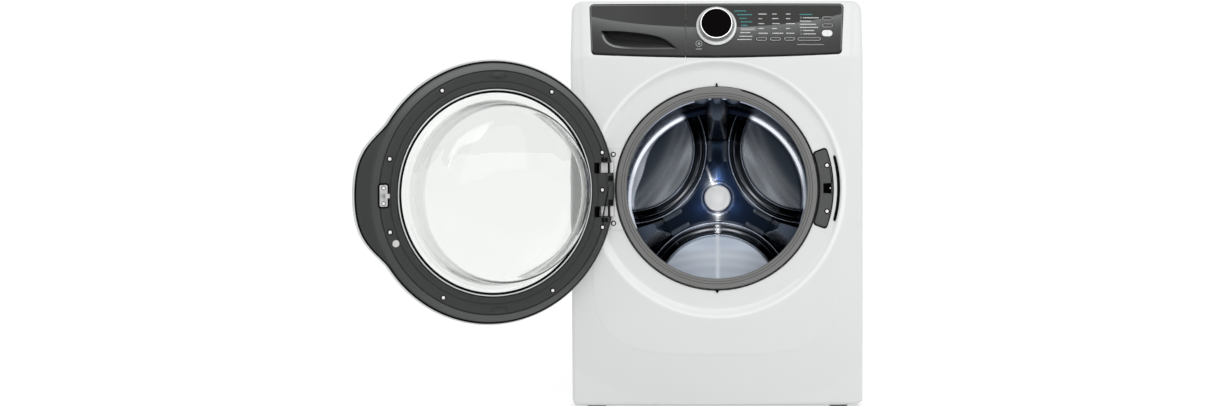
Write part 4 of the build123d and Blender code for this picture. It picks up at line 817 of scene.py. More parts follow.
@dataclass
class FrontPanel:
    """The white front: a bowed sheet with rolled edges and the round recess of the door.

    The recess has an opening of radius hole, a floor of radius floor and a wall that rises by slope.
    """

    half: float = 0.343
    low: float = 0.0125
    high: float = 0.968
    corner: float = 0.025
    foot: float = 0.013
    seam: float = -0.312
    roll: float = 0.010
    hole: float = 0.2380
    floor: float = 0.2855
    slope: float = 24 / 14
    columns: int = 656
    drawer_hole: Hole = Hole((-0.2905, 0.845), (-0.0735, 0.938))
    latch_hole: Hole = Hole((0.2475, 0.5108), (0.2730, 0.5392))

    def relief(self, x: Array, z: Array) -> Array:
        """How far the sheet lies behind the face outside its raised shield and lower arch.

        The shield's sides are two slanting lines, and its foot is a superellipse of power 3.6.
        Past its edge the sheet steps back 1.2 mm and then falls 1 mm in 10, 12 mm at most. The
        arch is a flat topped bump along the foot, below which it falls 3 mm in 100 more.
        """
        waist, foot, power = 0.352, 0.2165, 3.6
        half = 0.291 + 0.031 * np.clip((z - waist) / 0.608, 0, 1.02)
        below = np.maximum(waist - z, 0)
        ratio = ((np.abs(x) / 0.2915) ** power + (below / foot) ** power) ** (1 / power)
        reach = np.hypot(x, below)
        past = np.where(z >= waist, np.abs(x) - half, reach - reach / np.maximum(ratio, 0.05))
        arch = 0.137 - 0.06 * ramp(0, 1, (np.abs(x) - 0.15) / 0.19) ** 2
        step = 0.0012 * ramp(-0.004, 0.004, past)
        fall = np.minimum(0.10 * soft_plus(past, 0.008), 0.012)
        return step + fall + 0.03 * soft_plus(arch - z, 0.02)

    def surface(self, x: Array, z: Array) -> Array:
        """Points of the sheet: face and relief, cut by the recess's cone with rounded edges."""
        behind_console = 0.006 * ramp(0.002, 0.010, OUTLINE.inset(x, z))
        y = FACE.y(x, z) + self.relief(x, z) + behind_console
        height = OPENING_CENTRE[1] - y
        radius = np.hypot(x, z - OPENING_CENTRE[2])
        cone = soft_plus(self.slope * (radius - self.floor), 0.005) - 0.0002
        cone = np.where(radius < self.floor - 0.02, 0, cone)
        lower = (height + cone - np.sqrt((height - cone) ** 2 + 0.004**2)) / 2
        height = np.where(radius < 0.27, 0, np.where(radius > 0.32, height, np.maximum(lower, 0)))
        return np.stack([x, OPENING_CENTRE[1] - height, z], -1)

    def rings(self, far: Array) -> Array:
        """Each ring's radius in every column: circles up to 0.31 m, then evenly on to far."""
        near = [0.2398, 0.243, 0.2475, 0.252, 0.257, 0.262, 0.2675, 0.2730, 0.277, 0.280]
        circles = np.array([*near, *np.linspace(0.2815, 0.309, 24)])
        last = 0.31
        slid = last + (far - last) * np.linspace(0, 1, 74)[:, None]
        return np.concatenate([np.broadcast_to(circles[:, None], (len(circles), len(far))), slid])

    def build(self) -> None:
        """Weave rings from the hole to the outline, then round the edge and back to the seam.

        Each column keeps its direction from the opening's centre. The edge is a quarter circle,
        drawn out at the lower corners to make them square.
        """
        inset = self.roll
        low = (-self.half + inset, self.low + inset)
        high = (self.half - inset, self.high - inset)
        outline, way = rounded_outline(low, high, self.corner - inset, self.columns, self.foot - inset)
        centre = np.array([0.0, OPENING_CENTRE[2]])
        far = np.linalg.norm(outline - centre, axis=1)
        arm = (outline - centre) / far[:, None]
        flat = centre + arm * self.rings(far)[:, :, None]
        sheet = self.surface(flat[..., 0], flat[..., 1])
        lip = np.array([(self.hole, 0.014), (self.hole, 0.0018), (self.hole + 0.0006, 0.0005)])
        lip_flat = centre + arm * lip[:, :1, None]
        lip_y = np.broadcast_to(OPENING_CENTRE[1] + lip[:, 1:], lip_flat.shape[:2])
        lip_rows = np.stack([lip_flat[..., 0], lip_y, lip_flat[..., 1]], -1)
        edge = sheet[-1]
        turn = np.linspace(0, TAU / 4, 7)[1:, None]
        square = np.where(edge[:, 2] < 0.1, np.abs(way).max(1) ** -0.75, 1.0)
        out = edge[None, :, [0, 2]] + (way * square[:, None]) * (inset * np.sin(turn))[..., None]
        back = edge[:, 1] + inset * (1 - np.cos(turn))
        roll = np.stack([out[..., 0], back, out[..., 1]], -1)
        run = np.repeat(roll[-1:], 4, 0)
        run[..., 1] += (self.seam - run[..., 1]) * np.linspace(0.25, 1, 4)[:, None]
        hem = run[-1:].copy()
        hem[..., [0, 2]] -= way * 0.009
        shell = woven(np.concatenate([lip_rows, sheet, roll, run, hem]), cols_close=True).facing(FRONT)
        shell = self.drawer_hole.cut(shell, shell.verts[:, 1] < self.seam - 0.02)
        shell = self.latch_hole.cut(shell, shell.verts[:, 1] > OPENING_CENTRE[1] - 0.002)
        reach = np.hypot(shell.verts[:, 0], shell.verts[:, 2] - OPENING_CENTRE[2])
        # The wall tone is painted light on the band of the recess wall, 282 to 306 mm from the opening's centre.
        tones = {"wall": ramp(0.282, 0.287, reach) * ramp(0.306, 0.299, reach)}
        make_piece("front_skin", shell, WHITE_ENAMEL, "cabinet", ("front_panel",), 50, tones)


@dataclass
class Cabinet:
    """The sides, the top and what shows at the back and underneath."""

    half: float = 0.343
    front: float = -0.311
    back: float = 0.374
    low: float = 0.0125
    shoulder: float = 0.940
    high: float = 0.968
    corner: float = 0.025
    rivet: float = 0.0042

    def side(self, sign: int) -> Shell:
        """A side: a sheet pressed in by 2 mm over a rounded field, with flanges front and back.

        The pressed field is a smooth step over 14 mm of the distance to a rectangle 105 mm
        inside the sheet's edges, and the edges round off over 2 mm.
        """
        edges = np.array([0, 0.0006, 0.002, 0.006])
        even = np.linspace(self.front + 0.02, self.back - 0.02, 130)
        y = np.concatenate([self.front + edges, even, self.back - edges[::-1]])
        y_grid, z_grid = np.meshgrid(y, np.linspace(self.low, self.shoulder, 170))
        gap_y = np.minimum(y_grid - self.front, self.back - y_grid)
        gap_z = np.minimum(z_grid - self.low, self.shoulder - z_grid)
        short = np.hypot(np.maximum(0.105 - gap_y, 0), np.maximum(0.105 - gap_z, 0))
        x_grid = self.half - 0.002 * ramp(0.048, 0.034, short) - rolled(gap_y, 0.002, 0.002)
        sheet = np.pad(np.stack([x_grid, y_grid, z_grid], -1), ((0, 0), (1, 1), (0, 0)), mode="edge")
        sheet[:, [0, -1], 0] = self.half - 0.012
        sheet[..., 0] *= sign
        return woven(sheet).facing((sign, 0, 0))

    def lid(self) -> Shell:
        """The top: a rounded section carried from front to back, with its ends turned down.

        The section is a flat top with quarter circles of 25 mm at both sides. Near the ends
        every point moves in by a quarter circle of 4 mm, square to the section.
        """
        turn = np.linspace(0, TAU / 4, 14)
        flat_half, bend = self.half - self.corner, self.high - self.corner
        right = np.stack([flat_half + self.corner * np.cos(turn), bend + self.corner * np.sin(turn)], -1)
        flat = np.stack([np.linspace(flat_half, -flat_half, 100)[1:-1], np.full(98, self.high)], -1)
        foot = np.array([[self.half, self.shoulder]])
        section = np.concatenate([foot, right, flat, right[::-1] * [-1, 1], foot * [-1, 1]])
        sideways = np.where(np.abs(section[:, 0]) > flat_half, -np.sign(section[:, 0]), 0)
        inward = np.stack([sideways, np.where(section[:, 1] > bend + 1e-6, -1, 0)], -1)
        inward = inward / np.maximum(np.linalg.norm(inward, axis=1, keepdims=True), 1)
        run = np.array([0, 0.0004, 0.0012, 0.0025, 0.004])
        even = np.linspace(self.front + 0.01, self.back - 0.01, 60)
        y = np.concatenate([self.front + run, even, self.back - run[::-1]])
        drop = rolled(np.minimum(y - self.front, self.back - y), 0.004, 0.004)
        points = section[None] + inward[None] * drop[:, None, None]
        y_grid = np.broadcast_to(y[:, None], points.shape[:2])
        grid = np.stack([points[..., 0], y_grid, points[..., 1]], -1)
        grid = np.pad(grid, ((1, 1), (0, 0), (0, 0)), mode="edge")
        grid[[0, -1], :, 2] = self.shoulder
        return woven(grid).facing((0, 0, 1))

    def build(self) -> None:
        """Make the sides and the top, and dress the plain sheets behind and below."""
        for name, sign in (("left", -1), ("right", 1)):
            replaced = (f"side_panel_{name}",)
            make_piece(f"side_skin_{name}", self.side(sign), SIDE_ENAMEL, "cabinet", replaced)
        make_piece("top_skin", self.lid(), SIDE_ENAMEL, "cabinet", ("top_panel",), 50)
        dress(ZINC_SHEET, "rear_panel", "rear_cover", "base_pan")
        self.screws()

    def screws(self) -> None:
        """Screw heads round the back: domes on the rear panel and on its cover."""
        seats = [(side * 0.3335, z, 0.0015) for side in (-1, 1) for z in np.linspace(0.06, 0.90, 6)]
        seats += [(x, 0.930, 0.0015) for x in (-0.2, 0.0, 0.2)]
        seats += [(side * 0.2065, z, 0.003) for side in (-1, 1) for z in (0.24, 0.47, 0.70)]
        seats += [(x, z, 0.003) for x in (-0.1, 0.1) for z in (0.2035, 0.7365)]
        rear = Placement((0.0, self.back, 0.0), (1, 0, 0), (0, 0, 1), (0, 1, 0))
        heads = [screw_head(rear.moved(*seat), self.rivet) for seat in seats]
        make_piece("rear_screws", joined(heads), SCREW_STEEL, "cabinet")


# ---- screws


def screw_head(place: Placement, radius: float, height: float = 0.0021) -> Shell:
    """A pan head with a cross recess.

    Height over the seat is height times (1 - (r/R)^6)^0.5, less a cross whose arms are 0.32 R
    wide and 0.62 R long and half the height deep.

    Args:
        place: the seat.
        radius: the head's radius.
        height: how tall it is.

    Returns:
        The closed shell.
    """
    r, angle = np.linspace(0, 1, 22)[:, None], round_steps(48)
    a, b = polar(r, angle)
    wide, long = 0.16, 0.62
    one_way = np.maximum(np.abs(a) - wide, np.abs(b) - long)
    arm = np.minimum(one_way, np.maximum(np.abs(b) - wide, np.abs(a) - long))
    dome = np.sqrt(np.maximum(1 - r**6, 0)) - 0.5 * ramp(0.04, -0.06, arm)
    foot = np.concatenate([dome, np.full((1, len(angle)), -0.1)])
    a, b = np.concatenate([a, a[-1:]]), np.concatenate([b, b[-1:]])
    return woven(place.place(radius * a, radius * b, height * foot), cols_close=True).facing(place.out)


def screw_shadow_ring(place: Placement, inner: float = 4.0, outer: float = 6.5) -> Shell:
    """A low dark ring round a screw's head, painted shadow where the head meets its seat; radii in mm."""
    profile = np.array([(inner, 0.0), (inner, 0.9), (outer - 0.7, 0.9), (outer, 0.0)]) * MM
    return turned(place, profile, 40).facing(place.out)


def front_screws(label: str, spots: tuple[Pair, ...], lift: float, tall: float, *replaces: str) -> None:
    """Two pieces: screws at x and z from the opening's centre, and a dark ring of painted shadow round each."""
    heads = [screw_head(OPENING.moved(x, z, lift), 0.0042, tall) for x, z in spots]
    make_piece(f"{label}_screws", joined(heads), SCREW_STEEL, "cabinet", replaces)
    seats = [screw_shadow_ring(OPENING.moved(x, z, lift - 0.0001)) for x, z in spots]
    make_piece(f"{label}_screw_shadow_rings", joined(seats), SEAL_BLACK, "cabinet")


def lathed(place: Placement, profile: list[Pair], reach: float, curve: int = 5, segments: int = 200) -> Shell:
    """A profile in mm, its corners rounded, turned round a placement and facing out of it."""
    return turned(place, softened(profile, reach, curve) * MM, segments).facing(place.out)


# ---- console


@dataclass
class Outline:
    """The console's outline seen from the front: slanted sides and a sagging lower edge."""

    top: float = 0.962
    low_side: float = 0.8380
    low_middle: float = 0.8292
    half_top: float = 0.3024
    half_low: float = 0.2954
    corner: float = 0.011

    def half(self, z: Array) -> Array:
        """Half its width at height z, along a straight slanted side."""
        share = (z - self.low_side) / (self.top - self.low_side)
        return self.half_low + (self.half_top - self.half_low) * share

    def low(self, x: Array) -> Array:
        """Height of its lower edge at x, a parabola."""
        return self.low_middle + (self.low_side - self.low_middle) * (x / self.half_low) ** 2

    def inset(self, x: Array, z: Array) -> Array:
        """Distance inside the outline, with its corners rounded; negative outside."""
        gap_x = self.half(z) - np.abs(x)
        gap_z = np.minimum(self.top - z, z - self.low(x))
        short = np.hypot(np.maximum(self.corner - gap_x, 0), np.maximum(self.corner - gap_z, 0))
        nearest = np.minimum(gap_x, gap_z)
        return np.where(nearest >= self.corner, nearest, self.corner - short)

    def grid(self, x: Array, z: Array, fixed: tuple[float, float, float, float]) -> tuple[Array, Array]:
        """Bend a plain grid to the outline's edges.

        Inside the fixed box nothing moves. Outside it x stretches to the slanted side, and z to the
        lower and upper edges less what the corner's circle takes at that distance from it.

        Args:
            x: columns, the outer ones at the half width at the top.
            z: rows, from low_middle to top.
            fixed: the box's left, right, low and high.

        Returns:
            The bent grid's x and z.
        """
        left, right, low, high = fixed
        x_grid, z_grid = np.meshgrid(x, z)
        rows = z[:, None]
        for _ in range(3):
            half = self.half(z_grid)
            to_right = right + (x_grid - right) / (self.half_top - right) * (half - right)
            to_left = left + (x_grid - left) / (self.half_top + left) * (half + left)
            bent = np.where(x_grid > right, to_right, x_grid)
            bent = np.where(x_grid < left, to_left, bent)
            gap = np.clip(half - np.abs(bent), 0, self.corner)
            taken = rolled(gap, self.corner, self.corner)
            foot, head = self.low(bent) + taken, self.top - taken
            to_foot = low - (low - rows) / (low - self.low_middle) * (low - foot)
            to_head = high + (rows - high) / (self.top - high) * (head - high)
            z_grid = np.where(rows > high, to_head, np.where(rows < low, to_foot, rows))
        return bent, z_grid


OUTLINE = Outline()
EDGE_ROLL = (0.0065, 0.0026)
SPLIT_ROLL = (0.0007, 0.0006)
CONSOLE_PROUD = 0.0006


def console_proud(x: Array, z: Array, split_gap: Array) -> Array:
    """How proud the console stands: rolled down at its outline and at its split."""
    return CONSOLE_PROUD - rolled(OUTLINE.inset(x, z), *EDGE_ROLL) - rolled(split_gap, *SPLIT_ROLL)


def skirted(points: Array, depth: float = 0.004) -> Array:
    """A grid with one more row and column all round, straight behind its edge by depth."""
    wide = np.pad(points, ((1, 1), (1, 1), (0, 0)), mode="edge")
    for rim in (wide[0], wide[-1], wide[:, 0], wide[:, -1]):
        rim[:, 1] += depth
    return wide


@dataclass(frozen=True)
class Button:
    """A button's middle and size in mm, and the (offset, length) of each word on its cap."""

    x: float
    z: float
    width: float
    height: float
    words: tuple[Pair, ...] = ()

    @property
    def radius(self) -> float:
        """Radius of its round ends, in metres."""
        return self.height / 2 * MM

    def core(self, x: Array) -> Array:
        """The nearest x on the line between its ends' centres, in metres."""
        reach = (self.width - self.height) / 2 * MM
        return self.x * MM + np.clip(x - self.x * MM, -reach, reach)

    def gap(self, x: Array, z: Array) -> Array:
        """Distance outside its pill, in metres; negative inside."""
        return np.hypot(x - self.core(x), z - self.z * MM) - self.radius

    def ring(self, inset: float, count: int = 96) -> tuple[Array, Array]:
        """Its outline moved in by inset, as offsets across and up from its middle, in metres."""
        angle = round_steps(count) + TAU / (2 * count)
        radius = max(self.radius - inset, 0)
        reach = (self.width - self.height) / 2 * MM
        return reach * np.sign(np.cos(angle)) + radius * np.cos(angle), radius * np.sin(angle)

    def band(self, place: Placement, insets: Pair, lifts: Pair, count: int = 96) -> Shell:
        """A line round it, between two insets in mm, that rises from its foot to its top."""
        rings = [self.ring(insets[i] * MM, count) for i in (0, 0, 1, 1)]
        return stacked(place, rings, [lifts[i] for i in (0, 1, 1, 0)])


BUTTONS = {
    "button_temperature": Button(105.3, 875.3, 26.6, 10.6, ((0, 15.5),)),
    "button_soil": Button(138.0, 875.3, 26.6, 10.6, ((0, 9.5),)),
    "button_spin": Button(170.9, 875.3, 26.6, 10.6, ((0, 11.0),)),
    "button_options": Button(217.0, 875.3, 56.0, 10.6, ((-14.0, 22.0), (15.0, 16.0))),
    "button_power": Button(261.0, 924.0, 26.6, 11.0, ((0, 14.5),)),
    "button_cancel": Button(261.0, 907.3, 26.6, 11.0, ((0, 13.0),)),
    "button_start": Button(259.8, 889.0, 25.0, 15.5, ((0, 13.5),)),
}


def console_painted_light(x: Array, z: Array) -> dict[str, Array]:
    """Painted light and shade on the console's lacquer.

    Below a sagging crease, a curve of the fourth power, light is painted, fading over 27 mm. A
    painted highlight lies on the rim at the sides and the top, and painted shade makes the lower
    edge and a thin outline nearly black.
    """
    crease_x = np.array([-300, -291.9, -209, -72.6, 0, 93.8, 185.5, 244.5, 289.6, 300]) * MM
    crease_z = np.array([932, 930.2, 915.7, 904.9, 903.2, 906.5, 914.4, 923.0, 934.2, 937]) * MM
    drop = np.polyval(np.polyfit(crease_x, crease_z, 4), x) - z
    glow = ramp(-0.0004, 0.0008, drop) * np.exp(-((np.maximum(drop, 0) / 0.027) ** 1.15))
    inset = OUTLINE.inset(x, z)
    lower = ramp(0.016, 0.004, z - OUTLINE.low(x))
    rim = ramp(0.0066, 0.0048, inset) * (1 - lower)
    under = np.maximum(ramp(0.0088, 0.0060, inset) * lower, ramp(0.0036, 0.0026, inset))
    # Painted light also lifts the face above the crease towards the left.
    glow = glow + 0.16 * ramp(0.0004, -0.0008, drop) * ramp(-0.10, -0.26, x)
    return {"glow": glow * (1 - rim), "rim": rim * 0.8 * (1 - under), "under": under}


@dataclass
class Console:
    """The fixed right part of the console, with its buttons' wells and its printing."""

    split: float = -0.072
    well: float = 0.004
    clearance: float = 0.0003

    def fascia(self) -> Shell:
        """The surface: proud of the face, rolled down at the outline, sunk under each button.

        Grid points within 0.4 mm of a well's edge move to that edge along the pill's radius.
        """
        x = steps(self.split, 0.0002, self.split + 0.001, 0.002, -0.06, 0.005, 0.088, 0.0007, 0.2765)
        x = np.concatenate([x[:-1], steps(0.2765, 0.0008, 0.288, 0.0006, OUTLINE.half_top)])
        z = steps(OUTLINE.low_middle, 0.0005, 0.842, 0.002, 0.866, 0.0007, 0.932, 0.002, 0.954, 0.0005, 0.962)
        x_grid, z_grid = OUTLINE.grid(x, z, (-0.2, 0.2765, 0.866, 0.932))
        proud = console_proud(x_grid, z_grid, x_grid - self.split)
        for button in BUTTONS.values():
            gap = button.gap(x_grid, z_grid) - self.clearance
            proud = np.where(gap < 0, proud - self.well, proud)
            near = np.abs(gap) < 0.0004
            core, middle, edge = button.core(x_grid), button.z * MM, button.radius + self.clearance
            stretch = (edge + np.where(gap < 0, -1e-5, 1e-5)) / np.maximum(gap + edge, 1e-6)
            x_grid = np.where(near, core + (x_grid - core) * stretch, x_grid)
            z_grid = np.where(near, middle + (z_grid - middle) * stretch, z_grid)
        return woven(skirted(FACE.patch(x_grid, z_grid, proud))).facing(FRONT)

    def build(self) -> None:
        """Make the fascia, its printing and its buttons, and dress what lies behind."""
        shell = self.fascia()
        tones = console_painted_light(shell.verts[:, 0], shell.verts[:, 2])
        make_piece("console_skin", shell, CONSOLE, "cabinet", ("control_fascia",), 50, tones)
        self.print_legends()
        for name, button in BUTTONS.items():
            self.build_button(name, button)
        dress(DARK_TRIM, "control_housing", "dispenser_housing")
        dress(INNER_PLASTIC, "drawer_tray")
        dress(BOARD_GREEN, "control_board")

    def print_legends(self) -> None:
        """Rows of small marks for the programmes, levels and options, and outlined pills."""
        teal = [(42, 942.6, 28.5), (48.5, 933.5, 36), (54.3, 924.7, 17), (57, 916.3, 27.5)]
        teal += [(58.5, 908, 15), (196, 934, 29.5)]
        white = [(58.5, 899, 31), (56, 890.7, 23.5), (54, 881.9, 30), (49, 874.3, 33)]
        columns = {
            98.9: (19.3, 8.7, 14.1, 12.4, 21.8),
            131.0: (11.2, 14.9, 18.1, 11.7, 26.0),
            163.8: (10.7, 10.2, 20.6, 9.4, 19.3),
        }
        heights = (935, 924, 912, 900.4, 889)
        white += [(x, z, length) for x, row in columns.items() for z, length in zip(heights, row)]
        white += [(204, 926, 37), (196, 918, 27.5), (196, 910.5, 38.5), (196, 903, 43)]
        white += [(204, 895.5, 26), (204, 887.5, 29)]
        for name, rows, ink in (("print_teal", teal, INK_TEAL), ("print_white", white, INK_WHITE)):
            marks = [row_of_marks(x, z, length, seed) for seed, (x, z, length) in enumerate(rows)]
            make_piece(name, joined(marks), ink, "cabinet")
        rings = [(198.8, z, 3.6, 3.6, 0.5) for z in (926, 895.5, 887.5)] + [(75.3, 899, 38.5, 7.6, 0.45)]
        rings += [(-41, 864.5, 15, 15, 0.8), (-41, 864.5, 5.5, 5.5, 1.3)]
        marks = [ring_mark(*ring) for ring in rings]
        marks += [row_of_marks(-48, 852, 14, 5), row_of_marks(189, 862, 63, 8, 1.5)]
        make_piece("print_grey", joined(marks), INK_GREY, "cabinet")

    def build_button(self, name: str, button: Button) -> None:
        """A domed cap with a skirt, and its printed outline and words.

        The cap's rings step in from the pill's outline: height 0.8 mm less a quarter ellipse
        over the outer 1.2 mm.
        """
        place = FACE.plane(button.x * MM, button.z * MM, CONSOLE_PROUD)
        insets = np.array([0, 0, 0.00005, 0.0002, 0.0005, 0.0009, 0.0014, 0.0025, button.radius])
        heights = 0.0008 - rolled(insets, 0.0012, 0.0005)
        heights[0] = -0.0048
        shell = stacked(place, [button.ring(inset) for inset in insets], heights)
        pale = name == "button_start"
        make_piece(name + "_cap", shell, BUTTON_PALE if pale else BUTTON_DARK, name, (name,), 50)
        marks = [
            row_of_marks(button.x + offset - length / 2, button.z, length, 3, 2.0, 0.0014)
            for offset, length in button.words
        ]
        if not pale:
            marks.append(button.band(place, (1.15, 1.70), (0.0007, 0.00087)))
        make_piece(name + "_print", joined(marks), INK_DARK if pale else INK_WHITE, name)


def row_of_marks(x: float, z: float, length: float, seed: int, tall: float = 2.3, proud: float = 0.00076) -> Shell:
    """A row of small upright blocks, as far off print looks.

    Widths follow a sine of the block's number and of seed, and every third or so stands taller.

    Args:
        x: left end, mm.
        z: middle height, mm.
        length: of the row, mm.
        seed: sets rows apart.
        tall: height of the tallest, mm.
        proud: how far the blocks stand proud of the face, in metres.

    Returns:
        The blocks, each closed but for its foot.
    """
    number = np.arange(max(int(length / 1.75), 2)) + 7.3 * seed
    share = 1 + 0.35 * np.sin(number * 2.4)
    pitch = share / share.sum() * length
    left = x + np.concatenate([[0], np.cumsum(pitch)[:-1]])
    height = tall * np.where(np.sin(number * 3.9 + 1) > 0.45, 1.0, 0.72)
    blocks = []
    for start, wide, high in zip(left, pitch * 0.72, height):
        middle = FACE.plane((start + wide / 2) * MM, (z - tall / 2 + high / 2) * MM)
        a, b = np.array([-1, 1, 1, -1]) * wide / 2 * MM, np.array([-1, -1, 1, 1]) * high / 2 * MM
        blocks.append(stacked(middle, [(a, b), (a, b), (0 * a, 0 * b)], (proud - 0.00025, proud, proud)))
    return joined(blocks)


def ring_mark(x: float, z: float, width: float, height: float, line: float) -> Shell:
    """A printed pill outline, or a ring where width is height; all in mm."""
    pill = Button(x, z, width, height)
    return pill.band(FACE.plane(x * MM, z * MM), (0, line), (0.0005, 0.00076), 64)


@dataclass
class Knob:
    """The programme knob: a flared satin ring, a bright lip and a black glass face."""

    z: float = 0.9056

    def build(self) -> None:
        """Turn the three profiles round the knob's axis."""
        place = FACE.plane(0.0, self.z, CONSOLE_PROUD)
        ring = [(44, 0.6), (47.2, 0.9), (48, 2.2), (47.8, 4.0), (46.2, 5.4), (42.6, 6.2), (40.9, 8.0)]
        ring += [(39.2, 14), (38.2, 21.6)]
        lip = [(38.2, 21.6), (37.6, 23.4), (36.6, 24.0), (35.4, 24.0), (34.9, 23.3), (34.7, 19.8)]
        face = [(34.5, 19.8), (34.5, 22.0), (33.4, 22.9), (30, 23.2), (0, 23.4)]
        parts = (
            ("knob_ring", ring, 1.0, KNOB_METAL, "knob", ("program_knob",)),
            ("knob_lip", lip, 0.5, KNOB_BRIGHT, "knob", ()),
            ("knob_glass", face, 1.4, KNOB_BLACK, "knob_face", ("knob_face",)),
        )
        for name, profile, reach, finish, slot, replaced in parts:
            make_piece(name, lathed(place, profile, reach), finish, "knob", replaced, 50)


def distance_to_loop(x: Array, z: Array, loop: Array) -> tuple[Array, Array]:
    """How far points at x and z lie from a closed line, and which way they left it.

    Args:
        x: points' x.
        z: points' z.
        loop: the line's corners, one a row.

    Returns:
        Signed distances, negative inside, and the z part of the unit vector from the line's
        nearest point.
    """
    ends = np.roll(loop, -1, 0)
    points = np.stack([x.ravel(), z.ravel()], -1)[:, None]
    run = ends - loop
    share = np.clip(((points - loop) * run).sum(-1) / (run**2).sum(-1), 0, 1)
    arm = points - (loop + share[..., None] * run)
    far = np.linalg.norm(arm, axis=-1)
    pick = np.arange(len(far)), far.argmin(1)
    best, lift = far[pick], arm[..., 1][pick]
    above = (loop[:, 1] > points[..., 1]) != (ends[:, 1] > points[..., 1])
    cross = loop[:, 0] + (points[..., 1] - loop[:, 1]) / (run[:, 1] + 1e-12) * run[:, 0]
    inside = ((above & (points[..., 0] < cross)).sum(1) % 2) == 1
    signed = np.where(inside, -best, best)
    return signed.reshape(x.shape), (lift / np.maximum(best, 1e-9)).reshape(x.shape)


@dataclass
class Drawer:
    """The detergent drawer's front: the left part of the console with a swept finger pocket."""

    split: float = -0.073
    depth: float = 0.019

    def pocket(self) -> Array:
        """The pocket's outline: corners in mm, rounded, and sampled into a closed line."""
        corners = [(-272, 897), (-230, 896), (-184, 891.5), (-150, 886), (-126, 879), (-108, 867.5)]
        corners += [(-92, 851.5), (-140, 851), (-183, 851.5), (-220, 853.5), (-246, 858), (-262, 869), (-270, 884)]
        return softened(corners, [3, 12, 14, 14, 9, 9, 3, 16, 16, 14, 10, 8, 8], 7, True) * MM

    def build(self) -> None:
        """Make the front: the pocket's wall is steep above and slopes gently below.

        Inside the outline the depth is a smooth step of the distance to it, over a width that
        grows from 5 mm under the upper edge to 26 mm above the lower one.
        """
        x = steps(-OUTLINE.half_top, 0.0006, -0.288, 0.0012, -0.090, 0.0015, -0.075, 0.0002, self.split)
        z = steps(OUTLINE.low_middle, 0.0005, 0.842, 0.001, 0.900, 0.0009, 0.940, 0.002, 0.954, 0.0005, 0.962)
        x_grid, z_grid = OUTLINE.grid(x, z, (-0.284, 0.2, 0.850, 0.900))
        gap, lift = distance_to_loop(x_grid, z_grid, self.pocket())
        upper = ramp(-0.35, 0.45, -lift)
        share = ramp(0, 1, -gap / (0.005 + (1 - upper) * 0.021))
        brow = 0.0006 * ramp(0.004, 0.0, np.abs(gap))
        flat = FACE.patch(x_grid, z_grid, console_proud(x_grid, z_grid, self.split - x_grid) - brow)
        flat[..., 1] += self.depth * share * (0.55 + 0.45 * ramp(0.852, 0.890, z_grid))
        shell = woven(skirted(flat)).facing(FRONT)
        tones = self.tones(shell.verts[:, 0], shell.verts[:, 2])
        make_piece("drawer_skin", shell, CONSOLE, "drawer", ("drawer_front",), 50, tones)

    def tones(self, x: Array, z: Array) -> dict[str, Array]:
        """The console's tones, with the pocket's shadow and its lit lip at the left and below."""
        gap, lift = distance_to_loop(x, z, self.pocket())
        inner = ramp(0.0005, -0.0015, gap)
        upper = ramp(-0.2, 0.6, -lift)
        left = ramp(-0.236, -0.266, x)
        floor = ramp(0.874, 0.856, z - 0.035 * ramp(-0.15, -0.10, x))
        lip = ramp(0.0060, 0.0028, np.maximum(-gap, 0)) * inner * (1 - upper)
        lip = lip * ramp(0.892, 0.882, z)
        fade = ramp(-0.19, -0.25, x)
        shadow = inner * np.clip(0.80 - 0.50 * floor - 0.10 * left, 0, 1)
        tones = console_painted_light(x, z)
        tones["glow"] = tones["glow"] * (1 - inner)
        return tones | {"shadow": shadow * (1 - lip * fade), "lit": lip * (0.30 + 0.70 * fade)}


# ---- gasket and drum


